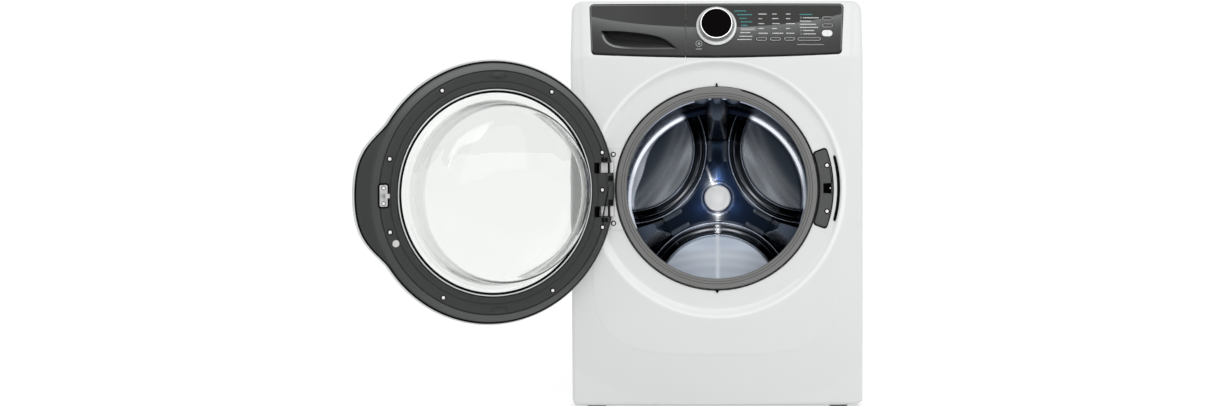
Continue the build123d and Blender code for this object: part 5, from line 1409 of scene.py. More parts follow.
@dataclass
class Gasket:
    """The grey bellows between the opening and the tub, with its lip, nozzles and marks."""

    segments: int = 360

    def profile(self) -> Array:
        """The lip over the recess floor, and the bellows behind it down to the tub's neck."""
        lip = [(234.6, -6.0), (234.6, 0.4), (236.0, 1.0), (236.2, 2.6), (234.4, 3.8), (225.2, 3.9), (224.4, 2.9)]
        lip += [(223.6, 3.8), (219.4, 3.0), (218.6, 1.9), (217.8, 2.5), (213.6, 0.4), (212.2, -2.2)]
        folds = [(213.0, -6.0), (217.0, -9.0), (224.0, -11.0), (226.5, -16.0), (222.0, -24.0), (223.0, -33.0)]
        folds += [(229.0, -40.0), (226.0, -50.0), (234.0, -60.0), (243.5, -62.0), (243.5, -70.0)]
        return np.concatenate([softened(lip, 1.3, 4), softened(folds, 3.0, 4)]) * MM

    def build(self) -> None:
        """Turn the profile; from 10 to 55 mm deep its rings slide from the opening's axis to the drum's.

        The lip's outer edge swells 3.5 mm over a short arc at the top, by a smooth step of x.
        """
        line, angle = self.profile(), round_steps(self.segments)
        radius, height = line[:, :1], line[:, 1:]
        swell = ramp(0.060, 0.052, np.abs(radius * np.cos(angle))) * (np.sin(angle) > 0)
        radius = radius + swell * ramp(0.228, 0.232, radius) * 0.0035
        across, up = polar(radius, angle)
        share = ramp(-0.010, -0.055, height)[..., None]
        points = OPENING.place(across, up, height) * (1 - share) + DRUM.place(across, up, -height) * share
        shell = woven(points, cols_close=True).facing(FRONT)
        depth = shell.verts[:, 1] - OPENING_CENTRE[1]
        reach = np.hypot(shell.verts[:, 0], shell.verts[:, 2] - OPENING_CENTRE[2])
        groove = bell(reach, 0.2244, 0.0008) + bell(reach, 0.2186, 0.0007)
        # Painted shade deeper in the bellows and along the lip's two grooves.
        tones = {"deep": ramp(0.004, 0.012, depth), "groove": groove * (depth < 0.001)}
        make_piece("gasket_skin", shell, GREY_RUBBER, "cabinet", ("door_gasket",), 60, tones)
        dress(BLACK_PART, "gasket_clamp")
        self.nozzles()
        self.marks()

    def nozzles(self) -> None:
        """Three rounded nozzles that hang inside the top of the bellows: ellipsoids."""
        shells = []
        line, angle = np.linspace(-TAU / 4, TAU / 4, 26)[:, None], round_steps(40)
        for x, half in ((-0.038, 0.0185), (0.0, 0.0135), (0.041, 0.0185)):
            a = x + half * np.cos(line) * np.cos(angle)
            b = 0.2130 + 0.0138 * np.cos(line) * np.sin(angle)
            shells.append(woven(OPENING.place(a, b, -0.055 + 0.012 * np.sin(line)), cols_close=True).closed_out())
        make_piece("gasket_nozzles", joined(shells), NOZZLE_RUBBER, "cabinet", (), 60)

    def marks(self) -> None:
        """The dark tab over the lip's top and the pointed one under its foot."""
        shells = []
        for low, high, half, tip in ((0.2405, 0.2475, 0.0030, 0.0012), (-0.2395, -0.2462, 0.0052, 0.0003)):
            side = np.array([-1, 1, 1, -1])
            a = np.array([0 * side, side * half, side * tip, 0 * side])
            b = np.array([[low], [low], [high], [high]])
            h = np.array([[26, 26, 26, 26], [6, 6, 46, 46], [6, 6, 26, 26], [16, 16, 16, 16]]) * 0.1 * MM
            shells.append(woven(OPENING.place(a, b, h), cols_close=True).closed_out())
        make_piece("gasket_marks", joined(shells), BLACK_PART, "cabinet")


def off_way(points: Array, ways: tuple[float, ...]) -> Array:
    """Degrees between each point's way round from across and the nearest of some ways."""
    angle = np.degrees(np.arctan2(points[:, 1], points[:, 0]))
    return np.abs((angle[:, None] - np.array(ways) + 180) % 360 - 180).min(1)


@dataclass
class Drum:
    """The stainless drum: pierced wall, stamped back with three lenses, lifters and hub cap.

    Wall and back meet at radius rim. The lenses are circles round points lens_centre from the axis,
    with ridges at radius lens and inner_lens. Angles are the ways to the lenses and the lifters.
    """

    radius: float = 0.262
    front: float = 0.080
    shoulder: float = 0.436
    back: float = 0.4785
    rim: float = 0.2298
    lens_centre: float = 0.266
    lens: float = 0.200
    inner_lens: float = 0.168
    lens_angles: tuple[float, ...] = (30.0, 150.0, 270.0)
    lifter_angles: tuple[float, ...] = (90.0, 210.0, 330.0)
    lifter_start: float = 0.105
    lifter_length: float = 0.350

    def wall_radius(self, along: Array) -> Array:
        """Inside radius at a distance along the axis: the wall, then a quarter ellipse inwards."""
        share = np.clip((along - self.shoulder) / (self.back - self.shoulder), 0, 1)
        return self.radius - (self.radius - self.rim) * (1 - np.sqrt(1 - share**1.6))

    def build(self) -> None:
        """Make the wall, back, lifters, hub and bolts' pads."""
        self.wall()
        self.back_plate()
        self.lifters()
        self.hub()
        dress(CAST_ALLOY, "drum_spider", "drum_pulley")

    def wall(self) -> None:
        """Turn the wall: mouth lip, front, cylinder and shoulder inside, and back outside."""
        straight = np.linspace(self.front + 0.004, self.shoulder, 60)
        along = np.concatenate([straight, np.linspace(self.shoulder, self.back, 26)[1:]])
        inside = np.stack([self.wall_radius(along), along], -1)
        lip = [(0.2215, 0.088), (0.2200, 0.087), (0.2198, 0.0835), (0.2204, 0.0808), (0.2225, 0.0800)]
        outer = [(0.2630, 0.0800), (0.2634, 0.0806)]
        tail = inside + [0.0014, 0.0012]
        ends = [(0.2225, 0.0822), (0.2215, 0.084)]
        line = np.concatenate([lip, outer, tail[tail[:, 1] > 0.09], inside[::-1], ends])
        shell = turned(DRUM, line, 300, loop=True).closed_out()
        local = DRUM.local(shell.verts)
        angle = np.degrees(np.arctan2(local[:, 1], local[:, 0]))
        high = ramp(0.02, 0.20, local[:, 1])
        late = ramp(0, 0.005, local[:, 2] - (0.4760 - 0.0120 * high))
        mouth = ramp(0.40, 0.30, local[:, 2])
        bottom = bell(angle, -90, 34)
        left = ramp(-0.13, -0.20, local[:, 0]) * ramp(0.19, 0.10, np.abs(local[:, 1]))
        arc = ramp(39, 34, off_way(local, self.lens_angles))
        # Painted reflection: white at the bottom, at the left and where the shoulder meets the lenses; painted
        # shade on the rest of the shoulder and on the back of the wall away from the bottom and the left.
        tones = {"white": np.maximum(late * arc, np.maximum(0.75 * bottom, 0.55 * left) * (1 - late))}
        tones["dark"] = late * (1 - arc)
        tones["slate_reflection"] = (1 - late) * (1 - mouth) * 0.7 * (1 - bottom) * (1 - left)
        make_piece("drum_wall", shell, WALL_STEEL, "drum", ("drum_shell",), 50, tones)

    def back_plate(self) -> None:
        """Weave three alike sectors, each on circles round its lens's centre.

        For a direction psi from that centre, q runs from where it meets the rim to where it
        leaves the sector or the disc. Rows lie at fixed q where they can, so the ridges at the
        lens's two radii follow them.
        """
        centre, rim = self.lens_centre, self.rim
        widest = math.acos(math.sqrt(centre**2 - rim**2) / centre) - 1e-4
        psi = widest * np.sin(np.linspace(-1, 1, 201) * TAU / 4 * 0.86) / math.sin(TAU / 4 * 0.86)
        middle = centre * np.cos(psi)
        half = np.sqrt(np.maximum(middle**2 - centre**2 + rim**2, 0))
        leaving = centre / (np.cos(psi) + math.tan(math.radians(30)) * np.sin(np.abs(psi)))
        fixed = steps(0.036, 0.0021, 0.160, 0.0011, 0.212, 0.0022, centre)
        q = np.clip(fixed[:, None], middle - half, np.minimum(middle + half, leaving))
        q = np.maximum.accumulate(q, 0)
        x, y = centre - q * np.cos(psi), q * np.sin(psi)
        depth = self.back - self.relief(np.hypot(x, y), q, np.abs(y))
        shells, tones = [], []
        _, left, low = self.lens_angles
        for turn in self.lens_angles:
            shells.append(woven(DRUM.place(*swung(x, y, turn), depth)).facing(FRONT))
            local = DRUM.local(shells[-1].verts)
            tones.append(self.tones(*swung(local[:, 0], local[:, 1], -turn), turn == low, turn == left))
        merged = {label: np.concatenate([tone[label] for tone in tones]) for label in tones[0]}
        shell = joined(shells)
        make_piece("drum_back_plate", shell, BACK_STEEL, "drum", ("drum_back",), 50, merged)

    def relief(self, reach: Array, q: Array, side: Array) -> Array:
        """Height of the stamped back towards the front.

        A cone of 6 mm round the hub with a groove round the cap, a step up of 6 mm from the
        outer ridge to the inner one, a ridge on each and a fine line between, and lenses that
        fall 2 mm towards the rim past a crease.
        """
        groove = -0.0006 * bell(reach, 0.0420, 0.0026)
        climb = 0.006 * ramp(self.lens + 0.002, self.inner_lens - 0.002, q)
        ridges = 0.0030 * bell(q, self.lens, 0.0032) + 0.0022 * bell(q, self.inner_lens, 0.0026)
        ridges = ridges + 0.0006 * bell(q, 0.187, 0.0014)
        past = self.crease(reach, q, side)
        lens = ramp(self.inner_lens, self.inner_lens - 0.006, q)
        bowl = -0.0018 * ramp(-0.02, 0.08, past) + 0.0008 * ramp(0.01, -0.04, past)
        rolled_rim = -0.003 * ramp(self.rim - 0.010, self.rim, reach)
        return self.pan(reach) + groove + climb + ridges + lens * bowl + rolled_rim

    def pan(self, reach: Array) -> Array:
        """Height of the cone that carries the hub cap."""
        return 0.006 * ramp(0.140, 0.034, reach)

    def crease(self, reach: Array, q: Array, side: Array) -> Array:
        """Signed distance past a lens's crease, a wide arc 152 mm from the hub."""
        x = (reach**2 - q**2 + self.lens_centre**2) / (2 * self.lens_centre)
        return 0.450 - np.hypot(x - 0.602, side)

    def tones(self, x: Array, y: Array, low: bool, left: bool) -> dict[str, Array]:
        """The back's painted reflections, highlights and shade in one sector.

        Args:
            x: towards the lens, from the axis.
            y: to its side.
            low: whether this is the lower sector, which looks up to the light.
            left: whether this is the left one, with a wider painted bright edge and a painted highlight with its
                ray.

        Returns:
            Named values.
        """
        reach, q = np.hypot(x, y), np.hypot(self.lens_centre - x, y)
        outer_ridge, inner_ridge, none = self.lens, self.inner_lens, 0 * q
        past = self.crease(reach, q, np.abs(y))
        lens = ramp(inner_ridge + 0.001, inner_ridge - 0.009, q)
        band = ramp(outer_ridge - 0.002, outer_ridge - 0.006, q)
        band = band * ramp(inner_ridge, inner_ridge + 0.003, q)
        turn = np.degrees(np.arctan2(y, x))
        # Painted highlights: a bright edge by the rim, a sheen by the crease, glints on the ridges and a point of
        # light by the hub; painted shade in the band between the ridges.
        edge = 0.2272 - 0.0150 * bell(turn, 12, 15) * left
        crescent_highlight = ramp(edge - 0.0016, edge, reach) * ramp(38, 34, np.abs(turn))
        sheen_streak = 0.5 + 0.5 * np.sin(past * 260 + 1.3) * np.exp(-np.abs(past) / 0.05)
        arm = ramp(outer_ridge - 0.001, outer_ridge + 0.004, q)
        glow = bell(reach, 0.038, 0.026) * (0.25 + 0.75 * ramp(34, 60, np.abs(turn)))
        navy_reflection = np.clip(glow + 0.18 * arm * ramp(0.16, 0.05, reach), 0, 1) * (1 - lens)
        lit_side = np.abs(y) if low else (y if left else -y)
        glint = bell(x, 0.080, 0.030) * bell(lit_side, 0.042, 0.030)
        line = 0.75 * bell(q, outer_ridge, 0.0017) + 0.45 * bell(q, inner_ridge, 0.0013)
        line = line + 0.2 * bell(q, 0.187, 0.0010) + 0.15 * bell(q, 0.1815, 0.0009)
        line = line + 0.25 * bell(reach, 0.0425, 0.0012)
        line = line + glint * (bell(q, outer_ridge, 0.0042) + 0.7 * bell(q, inner_ridge, 0.003))
        shine = glint * (0.8 * bell(q, outer_ridge - 0.001, 0.0028) + 0.5 * bell(q, 0.184, 0.0016))
        tones = {"navy_reflection": navy_reflection, "dark": 0.85 * band, "line": np.clip(line, 0, 1)}
        if low:
            tones |= {"pearl_reflection": lens * (0.86 + 0.14 * sheen_streak), "ash_reflection": none}
            tones["azure_reflection"] = lens * ramp(0.0, -0.03, past) * 0.25
            tones["slate_reflection"] = lens * ramp(0.11, 0.17, np.abs(y)) * 0.30
            star_highlight = 0.8 * np.exp(-(np.hypot(x - 0.047, y) / 0.0065))
            star_highlight = star_highlight + bell(y, 0, 0.0050) * ramp(0.030, 0.040, reach) * (0.35 + 0.4 * lens)
            return tones | {"white": np.clip(star_highlight + shine, 0, 1)}
        outer = ramp(0.004, 0.050, past) * 0.9 + 0.25 * bell(past, 0, 0.006) * lens
        tones |= {"ash_reflection": lens * (0.72 + 0.28 * sheen_streak), "slate_reflection": lens * np.clip(outer, 0, 1)}
        tones |= {"pearl_reflection": none, "azure_reflection": none}
        star_highlight = none
        if left:
            along, across = swung(x, y, 41)
            fade = ramp(0.028, 0.034, along) * ramp(0.100, 0.045, along)
            star_highlight = 0.9 * np.exp(-(np.hypot(along - 0.0375, across) / 0.0075))
            star_highlight = star_highlight + 0.6 * fade * bell(across, 0, 0.0032)
        return tones | {"white": np.clip(crescent_highlight + star_highlight + shine, 0, 1)}

    def lifters(self) -> None:
        """Three tapered vanes: a rounded trapezoid carried along the drum, with flat closed ends.

        At a share t of the length the tip is at radius 172 to 156 mm, 9 to 24 mm to each side,
        and the foot 30 to 34 mm, on the wall.
        """
        share = np.concatenate([[0, 0, 0.004, 0.012], np.linspace(0.03, 1, 60), [1.0, 1.0]])[:, None]
        along = self.lifter_start + self.lifter_length * share
        tip, tip_half = 0.172 - 0.016 * share, 0.009 + 0.015 * share
        foot, foot_half = self.wall_radius(along) - 0.0004, 0.030 + 0.004 * share
        rise = np.array([0.0, 0.35, 0.78, 0.94, 0.975, 0.99, 1.0, 1.0, 1.0])
        tuck = np.array([0, 0, 0, 0, 0.0004, 0.0012, 0.0026, 0.0048, 0.0090])
        lift = np.array([0, 0, 0, 0, 0, 0.0004, 0.0004, 0.0, 0.0])
        widths = np.maximum(foot_half * (1 - rise) + tip_half * rise - tuck, 0.002)
        radii = foot * (1 - rise) + tip * rise + lift
        across = np.concatenate([-widths, widths[:, ::-1]], 1)
        radii = np.concatenate([radii, radii[:, ::-1]], 1)
        middle = radii.mean(1, keepdims=True)
        across[[0, -1]] = 0
        radii[[0, -1]] = middle[[0, -1]]
        grids = [DRUM.place(*swung(radii, across, turn), along) for turn in self.lifter_angles]
        shell = joined([woven(grid, cols_close=True).closed_out() for grid in grids])
        local = DRUM.local(shell.verts)
        reach = np.hypot(local[:, 0], local[:, 1])
        width = reach * np.sin(np.radians(off_way(local, self.lifter_angles)))
        t = (local[:, 2] - self.lifter_start) / self.lifter_length
        edge = bell(width, 0.009 + 0.015 * t - 0.002, 0.0016) * (reach < 0.180)
        # Painted highlights along the tips' edges, and painted light on the front ends.
        tones = {"line": np.clip(edge, 0, 1), "cap": (local[:, 2] < 0.1085).astype(float)}
        make_piece("drum_lifters", shell, LIFTER_STEEL, "drum", ("drum_baffles",), 40, tones)

    def hub(self) -> None:
        """The satin cap, a shallow dome with a raised edge, and two pads on each arm."""
        line = [(36.3, -8.0), (36.3, 5.2), (34.8, 7.0), (33.0, 7.4), (30.5, 6.6), (16, 8.0), (0, 8.6)]
        profile = softened(line, 1.6, 6) * MM
        profile[:, 1] = 0.466 - profile[:, 1]
        shell = turned(DRUM, profile, 160).facing(FRONT)
        make_piece("hub_cap", shell, SATIN_STEEL, "drum", ("drum_hub_cap",), 50)
        pads = [self.pad(turn, side) for turn in self.lifter_angles for side in (-0.0205, 0.0205)]
        make_piece("drum_pads", joined(pads), PAD_STEEL, "drum")

    def pad(self, turn: float, side: float) -> Shell:
        """A raised oblong on an arm: rings of a rounded rectangle that step in as they rise."""
        outlines, heights = [], []
        rings = (0, -0.001), (0, 0.0008), (0.0006, 0.0014), (0.0016, 0.0018), (0.0055, 0.0020)
        for inset, height in rings:
            half_x, half_y = 0.029 - inset, 0.0065 - inset
            a, b = pill_outline((-half_x, -half_y), (half_x, half_y), 0.006 - 0.8 * inset, 48)
            radial, lateral = 0.127 + a, side + b
            outlines.append(swung(radial, lateral, turn))
            heights.append(self.back - height - self.pan(np.hypot(radial, lateral)))
        return stacked(DRUM, outlines, heights, fan=True).facing(FRONT)


# ---- latch and hinge


def arc_plate(
    inner: float, outer: float, half_angle: float, corner: float, rows: list[Pair], window: Point
) -> Shell:
    """A windowed plate on the recess floor, part of a ring, with rounded corners.

    Rows are a rounded rectangle of radius by arc length at the middle radius, moved in, at a
    height. Past the last row it closes on the window's outline.

    Args:
        inner: inner radius.
        outer: outer radius.
        half_angle: to each side, in degrees.
        corner: radius of its corners.
        rows: (inset, height) of each row.
        window: x of its middle, half width and half height.

    Returns:
        The plate.
    """
    middle = (inner + outer) / 2
    reach = middle * math.radians(half_angle)
    grid = []
    for inset, height in rows:
        bend = max(corner - inset, 0.0004)
        low, high = (inner + inset, -reach + inset), (outer - inset, reach - inset)
        grid.append((pill_outline(low, high, bend, 260), height))
    last, top = grid[-1]
    at, half_x, half_z = window
    hole = pill_outline((at - half_x, -half_z), (at + half_x, half_z), 0.0015, 260)
    hole[1] *= middle / at
    grid += [(last + (hole - last) * t, top) for t in (0.3, 0.6, 0.9, 1.0)] + [(hole, 0.0)]
    outlines = [polar(a, b / middle) for (a, b), _ in grid]
    return stacked(OPENING, outlines, [height for _, height in grid])


@dataclass
class LatchSide:
    """The latch's cover on the right of the opening, its slot, hook, screws and slit."""

    screws: tuple[Pair, ...] = ((0.2586, 0.054), (0.2586, -0.054))
    window: Point = (0.2605, 0.0106, 0.0121)

    def build(self) -> None:
        """A bevelled arc plate over a thin dark plate whose edge shows round it as painted shadow, with the hook
        inside its slot.
        """
        bevel = [(0, 0.0006), (0, 0.0016), (0.0003, 0.0022), (0.0012, 0.0029), (0.0028, 0.0032), (0.004, 0.0032)]
        cover = arc_plate(0.2424, 0.2722, 19.9, 0.007, bevel, self.window)
        make_piece("latch_skin", cover, LATCH_GREY, "cabinet", ("latch_cover",), 40)
        # Painted shadow: a black plate a little larger than the cover, so a dark outline shows round it.
        edge = [(0, 0.0), (0, 0.0012), (0.002, 0.0013)]
        seat = arc_plate(0.2398, 0.2748, 20.7, 0.008, edge, self.window)
        make_piece("latch_shadow_outline", seat, BLACK_PART, "cabinet")
        front_screws("latch", self.screws, 0.0031, 0.0012, "panel_screws")
        profile = [(0, -14), (2.6, -14), (2.6, -2.4), (2.0, -1.2), (0, -1.0)]
        hook = lathed(OPENING.moved(0.2675, 0.0, -0.002), profile, 0.4, 4, 24)
        make_piece("latch_hook", hook, BRIGHT_STEEL, "cabinet")
        dress(BLACK_PART, "door_lock")
        self.slit()

    def slit(self) -> None:
        """The dark curved opening at the foot of the recess's wall: a rounded ribbon."""
        angle = np.radians(np.linspace(-15.8, 15.8, 90))
        half = 0.0031 * np.sqrt(np.clip(1 - (angle / angle[-1]) ** 24, 0, 1))
        across = np.array([-1.0, -1.0, -0.4, 0.4, 1.0, 1.0])[:, None]
        rise = np.array([-0.004, 0.0007, 0.0010, 0.0010, 0.0010, -0.004])[:, None]
        radius = 0.2856 + across * half
        height = soft_plus(FrontPanel.slope * (radius - FrontPanel.floor), 0.005) + 0.0005 + rise
        shell = woven(OPENING.place(*polar(radius, angle), height))
        make_piece("slit_skin", shell.facing(OPENING.out), SLIT_BLACK, "cabinet", ("slit_liner",))


@dataclass
class Hinge:
    """The fixed bracket and its screws, the pins and the door's leaf."""

    screws: tuple[Pair, ...] = ((-0.2435, 0.0808), (-0.2435, -0.0808))

    def build(self) -> None:
        """Dress the carried-over steel parts and set the bracket's screws."""
        dress(BRACKET_STEEL, "hinge_bracket")
        dress(BRIGHT_STEEL, "hinge_pins", "door_hinge_leaf")
        front_screws("bracket", self.screws, 0.0025, 0.0021)


# ---- door


@dataclass
class Door:
    """The door: dark inner ring, silver rim, pale outer shell with its grip, bowl and window.

    Heights are measured from the recess floor, outwards when the door is shut. The grip swells by
    grip_reach over grip_angle degrees to each side. A vent is x, z, width and height.
    """

    grip_reach: float = 0.0295
    grip_angle: float = 33.0
    columns: int = 640
    screw_radius: float = 0.260
    screw_angles: tuple[float, ...] = (17.5, -17.5, 60.0, -60.0, 120.0, -120.0)
    leaf_screws: tuple[Pair, ...] = ((-0.2565, -0.0865), (-0.2565, 0.0), (-0.2565, 0.0865))
    strike_screws: tuple[Pair, ...] = ((0.262, -0.0165), (0.262, 0.0165))
    slots: tuple[Hole, ...] = (
        Hole((-0.302, 0.038), (-0.236, 0.063)),
        Hole((-0.302, -0.063), (-0.236, -0.038)),
    )
    vents: tuple = (
        (-0.278, 0.026, 0.013, 0.013),
        (-0.278, -0.030, 0.013, 0.014),
        (-0.262, 0.0700, 0.017, 0.0095),
        (-0.262, -0.0700, 0.017, 0.0100),
    )

    def swell(self, angle: Array) -> Array:
        """How far the grip stands out at an angle: reach times 1 - s^2.4, s a smooth step."""
        turn = np.abs((np.degrees(angle) + 180) % 360 - 180) / self.grip_angle
        return self.grip_reach * (1 - ramp(0, 1, turn) ** 2.4)

    def around(self, rows: list[Point]) -> Shell:
        """Weave rows round the door.

        Args:
            rows: (radius, height, share) in mm, share being how much of the grip's swell the
                row takes.

        Returns:
            The shell.
        """
        line, angle = np.array(rows), round_steps(self.columns)
        radius = line[:, :1] * MM + self.swell(angle) * line[:, 2:]
        return woven(DOOR.place(*polar(radius, angle), line[:, 1:2] * MM), cols_close=True)

    def slotted(self, shell: Shell, low: float = 0.003, high: float = 0.030) -> Shell:
        """The shell with both hinge slots cut through what lies between two heights."""
        for slot in self.slots:
            local = DOOR.local(shell.verts)
            near = (local[:, 2] > low) & (local[:, 2] < high)
            cut = slot.cut(Shell(local[:, [0, 2, 1]], shell.quads), near)
            shell = Shell(DOOR.place(cut.verts[:, 0], cut.verts[:, 2], cut.verts[:, 1]), cut.quads)
        return shell

    def inner_ring(self) -> None:
        """The dark ring: a raised band by the glass, a groove, a flat, a groove and a bevel.

        Rows follow a profile rounded by parabolas, at most 1.5 mm apart; past the bevel they
        slide out over the grip. Two oval bumps lie at the top and the bottom.
        """
        profile = [(224.6, 12.0), (227.6, 9.0), (231.4, 6.6), (233.2, 4.9), (243.6, 4.7), (246.6, 6.0)]
        profile += [(249.6, 4.7), (267.6, 4.6), (270.6, 6.6), (272.4, 4.8), (279.0, 4.9), (286.6, 9.4)]
        line = softened(profile, [1, 1, 1, 1.4, 2.2, 1.6, 2.2, 2.0, 0.9, 1.2, 5.0, 1], 7)
        walked = path_length(line)
        stops = np.unique(np.concatenate([walked, np.linspace(0, walked[-1], 58)]))
        rows = [(np.interp(t, walked, line[:, 0]), np.interp(t, walked, line[:, 1]), 0.0) for t in stops]
        for t in np.linspace(0, 1, 24)[1:]:
            rows.append((286.6 + 2.4 * t, 9.4 + 7.0 * t**0.8, float(0.97 * ramp(0, 1, t))))
        shell = self.around(rows).facing(DOOR_INSIDE.out)
        bump = 0.0026 * ramp(1.25, 0.2, self.oval(shell))
        shell = self.slotted(Shell(shell.verts - bump[:, None] * np.array(DOOR.out), shell.quads))
        tones = self.ring_painted_light(shell)
        make_piece("door_ring", shell, RING_PLASTIC, "door", ("door_inner_frame",), 50, tones)

    def ring_painted_light(self, shell: Shell) -> dict[str, Array]:
        """Painted light on the bevel, most at the top and a little at the bottom, and round the bumps; painted
        shade in the grooves, by the glass, round the bumps and at the outer edge.
        """
        across, up, _ = DOOR.local(shell.verts).T
        reach = np.hypot(across, up)
        lift = up / reach
        bevel = ramp(0.2715, 0.2735, reach) * ramp(0.289, 0.286, reach)
        pale = bevel * (0.14 + 0.70 * ramp(0.45, 1.0, lift) + 0.30 * ramp(-0.6, -1.0, lift))
        edge, far = bell(self.oval(shell), 1.0, 0.16), np.abs(up) > 0.2645
        between = ramp(-0.24, -0.25, across) * ramp(0.078, 0.070, np.abs(up))
        deep = bell(reach, 0.2466, 0.0011) * 0.7 + bell(reach, 0.2706, 0.0010) * (1 - between)
        deep = np.maximum(deep, ramp(0.2330, 0.2316, reach))
        deep = np.maximum(deep, 0.45 * edge * (np.abs(up) < 0.2645))
        tones = {"pale": np.maximum(pale, 0.22 * edge * far), "ring_edge_shade": ramp(0.288, 0.293, reach) * 0.35}
        return tones | {"deep": np.clip(deep, 0, 1)}

    def oval(self, shell: Shell) -> Array:
        """Distance from the two bumps' middles, 1 on their outlines."""
        local = DOOR.local(shell.verts)
        return np.hypot(local[:, 0] / 0.0185, (np.abs(local[:, 1]) - 0.2595) / 0.0058)

    def pockets(self) -> None:
        """Dark boxes behind the two hinge slots, and the dark marks beside them."""
        outlines = [pill_outline((-0.277, slot.low[1]), slot.high, 0.0006, 64) for slot in self.slots]
        boxes = [stacked(DOOR, [line] * 2, (0.0062, 0.0375), True).facing(DOOR_INSIDE.out) for line in outlines]
        make_piece("hinge_pockets", joined(boxes), BLACK_PART, "door")
        marks = []
        for x, z, wide, tall in self.vents:
            for middle in (x - wide * 0.27, x + wide * 0.27):
                low, high = (middle - wide * 0.2, z - tall / 2), (middle + wide * 0.2, z + tall / 2)
                outline = pill_outline(low, high, 0.001, 32)
                marks.append(stacked(DOOR, [outline] * 2, (0.0070, 0.0036), True).facing(DOOR_INSIDE.out))
        make_piece("frame_vents", joined(marks), BLACK_PART, "door")

    def trims(self) -> None:
        """The silver rim with its dark channel, and the glass's bright bead and black seal."""
        inward = DOOR_INSIDE.out
        channel = [(288.8, 16.2, 0.97), (289.4, 18.2, 0.98), (291.6, 18.2, 0.985), (292.2, 16.2, 0.985)]
        rim = [(291.6, 18.0, 0.985), (291.8, 15.9, 0.99), (292.7, 15.1, 1), (293.8, 15.8, 1), (294.9, 17.7, 1)]
        rim += [(295.8, 20.2, 1), (295.4, 21.9, 1), (293.2, 22.4, 1)]
        bead = [(230.6, 7.2), (230.2, 5.1), (228.6, 4.6), (227.2, 5.1), (226.8, 7.2)]
        seal = [(226.9, 7.4), (226.6, 5.2), (224.6, 4.9), (222.4, 5.6), (222.1, 7.15)]
        parts = (
            ("rim_channel", self.slotted(self.around(channel).facing(inward)), SEAL_BLACK, "door_ring"),
            ("door_rim", self.slotted(self.around(rim).facing(inward)), RIM_SILVER, "door_shell"),
            ("glass_bead", lathed(DOOR, bead, 0.6, 4, 300).facing(inward), RIM_SILVER, "door_ring"),
            ("glass_seal", lathed(DOOR, seal, 0.5, 4, 300).facing(inward), SEAL_BLACK, "door_ring"),
        )
        for name, shell, finish, slot in parts:
            make_piece(name, shell, finish, "door", (), 60)

    def outer_shell(self) -> None:
        """The pale outer side: from the rim over a rounded shoulder to the window's edge.

        The rows between are spread evenly and each is a quarter of its neighbours and half itself.
        """
        rows = [(294.2, 21.0, 1.0), (293.6, 25.0, 1.0), (290.6, 30.0, 0.97), (286.2, 35.2, 0.86)]
        rows += [(281.6, 39.6, 0.66), (275.6, 43.6, 0.42), (267.5, 47.6, 0.2), (258.0, 51.0, 0.06)]
        rows += [(247.0, 54.4, 0.0), (240.5, 56.6, 0.0), (238.6, 56.9, 0.0), (238.2, 56.2, 0.0), (238.2, 50.8, 0.0)]
        line, t = np.array(rows), np.linspace(0, len(rows) - 1, 60)
        smooth = np.stack([np.interp(t, np.arange(len(rows)), line[:, i]) for i in range(3)], -1)
        smooth[1:-1] = (smooth[:-2] + 2 * smooth[1:-1] + smooth[2:]) / 4
        shell = self.slotted(self.around(smooth).facing(DOOR.out), 0.010, 0.027)
        make_piece("door_skin", shell, DOOR_WHITE, "door", ("door_outer_shell",), 50)

    def panes(self) -> None:
        """The bowl that closes the drum and the domed window outside it, both solid glass."""
        outside = [(0, -106), (90, -105), (140, -102), (178, -90), (195, -62), (202, -25), (206, 2), (213, 6.5)]
        outside += [(221.8, 7.2), (222, 11.8)]
        inside = [(206, 11.4), (200.5, 6), (197, -25), (190, -61), (173, -86), (138, -97), (90, -100), (0, -101)]
        bends = [1, 20, 16, 15, 14, 14, 5, 3, 1, 1, 4, 4, 14, 14, 15, 16, 20, 1]
        bowl = softened(outside + inside, bends, 9) * MM
        bowl[0, 0] = bowl[-1, 0] = 0.0
        radius = np.linspace(0, 1, 34)
        outer = np.stack([237.6 * radius, 68 - 13.4 * radius**2], -1)
        dome = np.concatenate([outer, outer[::-1] - [0, 4]]) * MM
        for name, line, finish, slot in (
            ("glass_bowl", bowl, CLEAR_BOWL, "door_glass"),
            ("window_dome", dome, CLEAR_WINDOW, "door_window"),
        ):
            make_piece(name, turned(DOOR, line, 320).closed_out(), finish, "door", (slot,), 60)

    def fittings(self) -> None:
        """Screws ringed by painted shadow, a dark outline of painted shadow round the strike, and the dressed
        strike and bumper.
        """
        ways = np.radians(self.screw_angles)
        seats = [*(polar(self.screw_radius, way) for way in ways), *self.leaf_screws]
        heads = [screw_head(DOOR_INSIDE.moved(a, b, -0.0047), 0.0040, 0.0012) for a, b in seats]
        heads += [screw_head(DOOR_INSIDE.moved(a, b, -0.0039), 0.0034, 0.0004) for a, b in self.strike_screws]
        make_piece("door_screw_heads", joined(heads), SCREW_STEEL, "door", ("door_screws",))
        rings = [screw_shadow_ring(DOOR_INSIDE.moved(a, b, -0.0048)) for a, b in seats]
        rings += [screw_shadow_ring(DOOR_INSIDE.moved(a, b, -0.0044), 3.6, 5.2) for a, b in self.strike_screws]
        outline, way = rounded_outline((0.2522, -0.0242), (0.2718, 0.0242), 0.0045, 96)
        rows = ((-0.0012, 0.0046), (-0.0012, 0.0035), (0.0020, 0.0035), (0.0028, 0.0046))
        frame_lines = [(outline + way * out).T for out, _ in rows]
        rings.append(stacked(DOOR, frame_lines, [height for _, height in rows]).facing(DOOR_INSIDE.out))
        make_piece("screw_recess_shadows", joined(rings), SEAL_BLACK, "door")
        dress(STRIKE_STEEL, "door_strike")
        dress(BUMPER_WHITE, "door_bumper")

    def build(self) -> None:
        """Make every part of the door."""
        self.inner_ring()
        self.pockets()
        self.trims()
        self.outer_shell()
        self.panes()
        self.fittings()


# ---- inside and behind


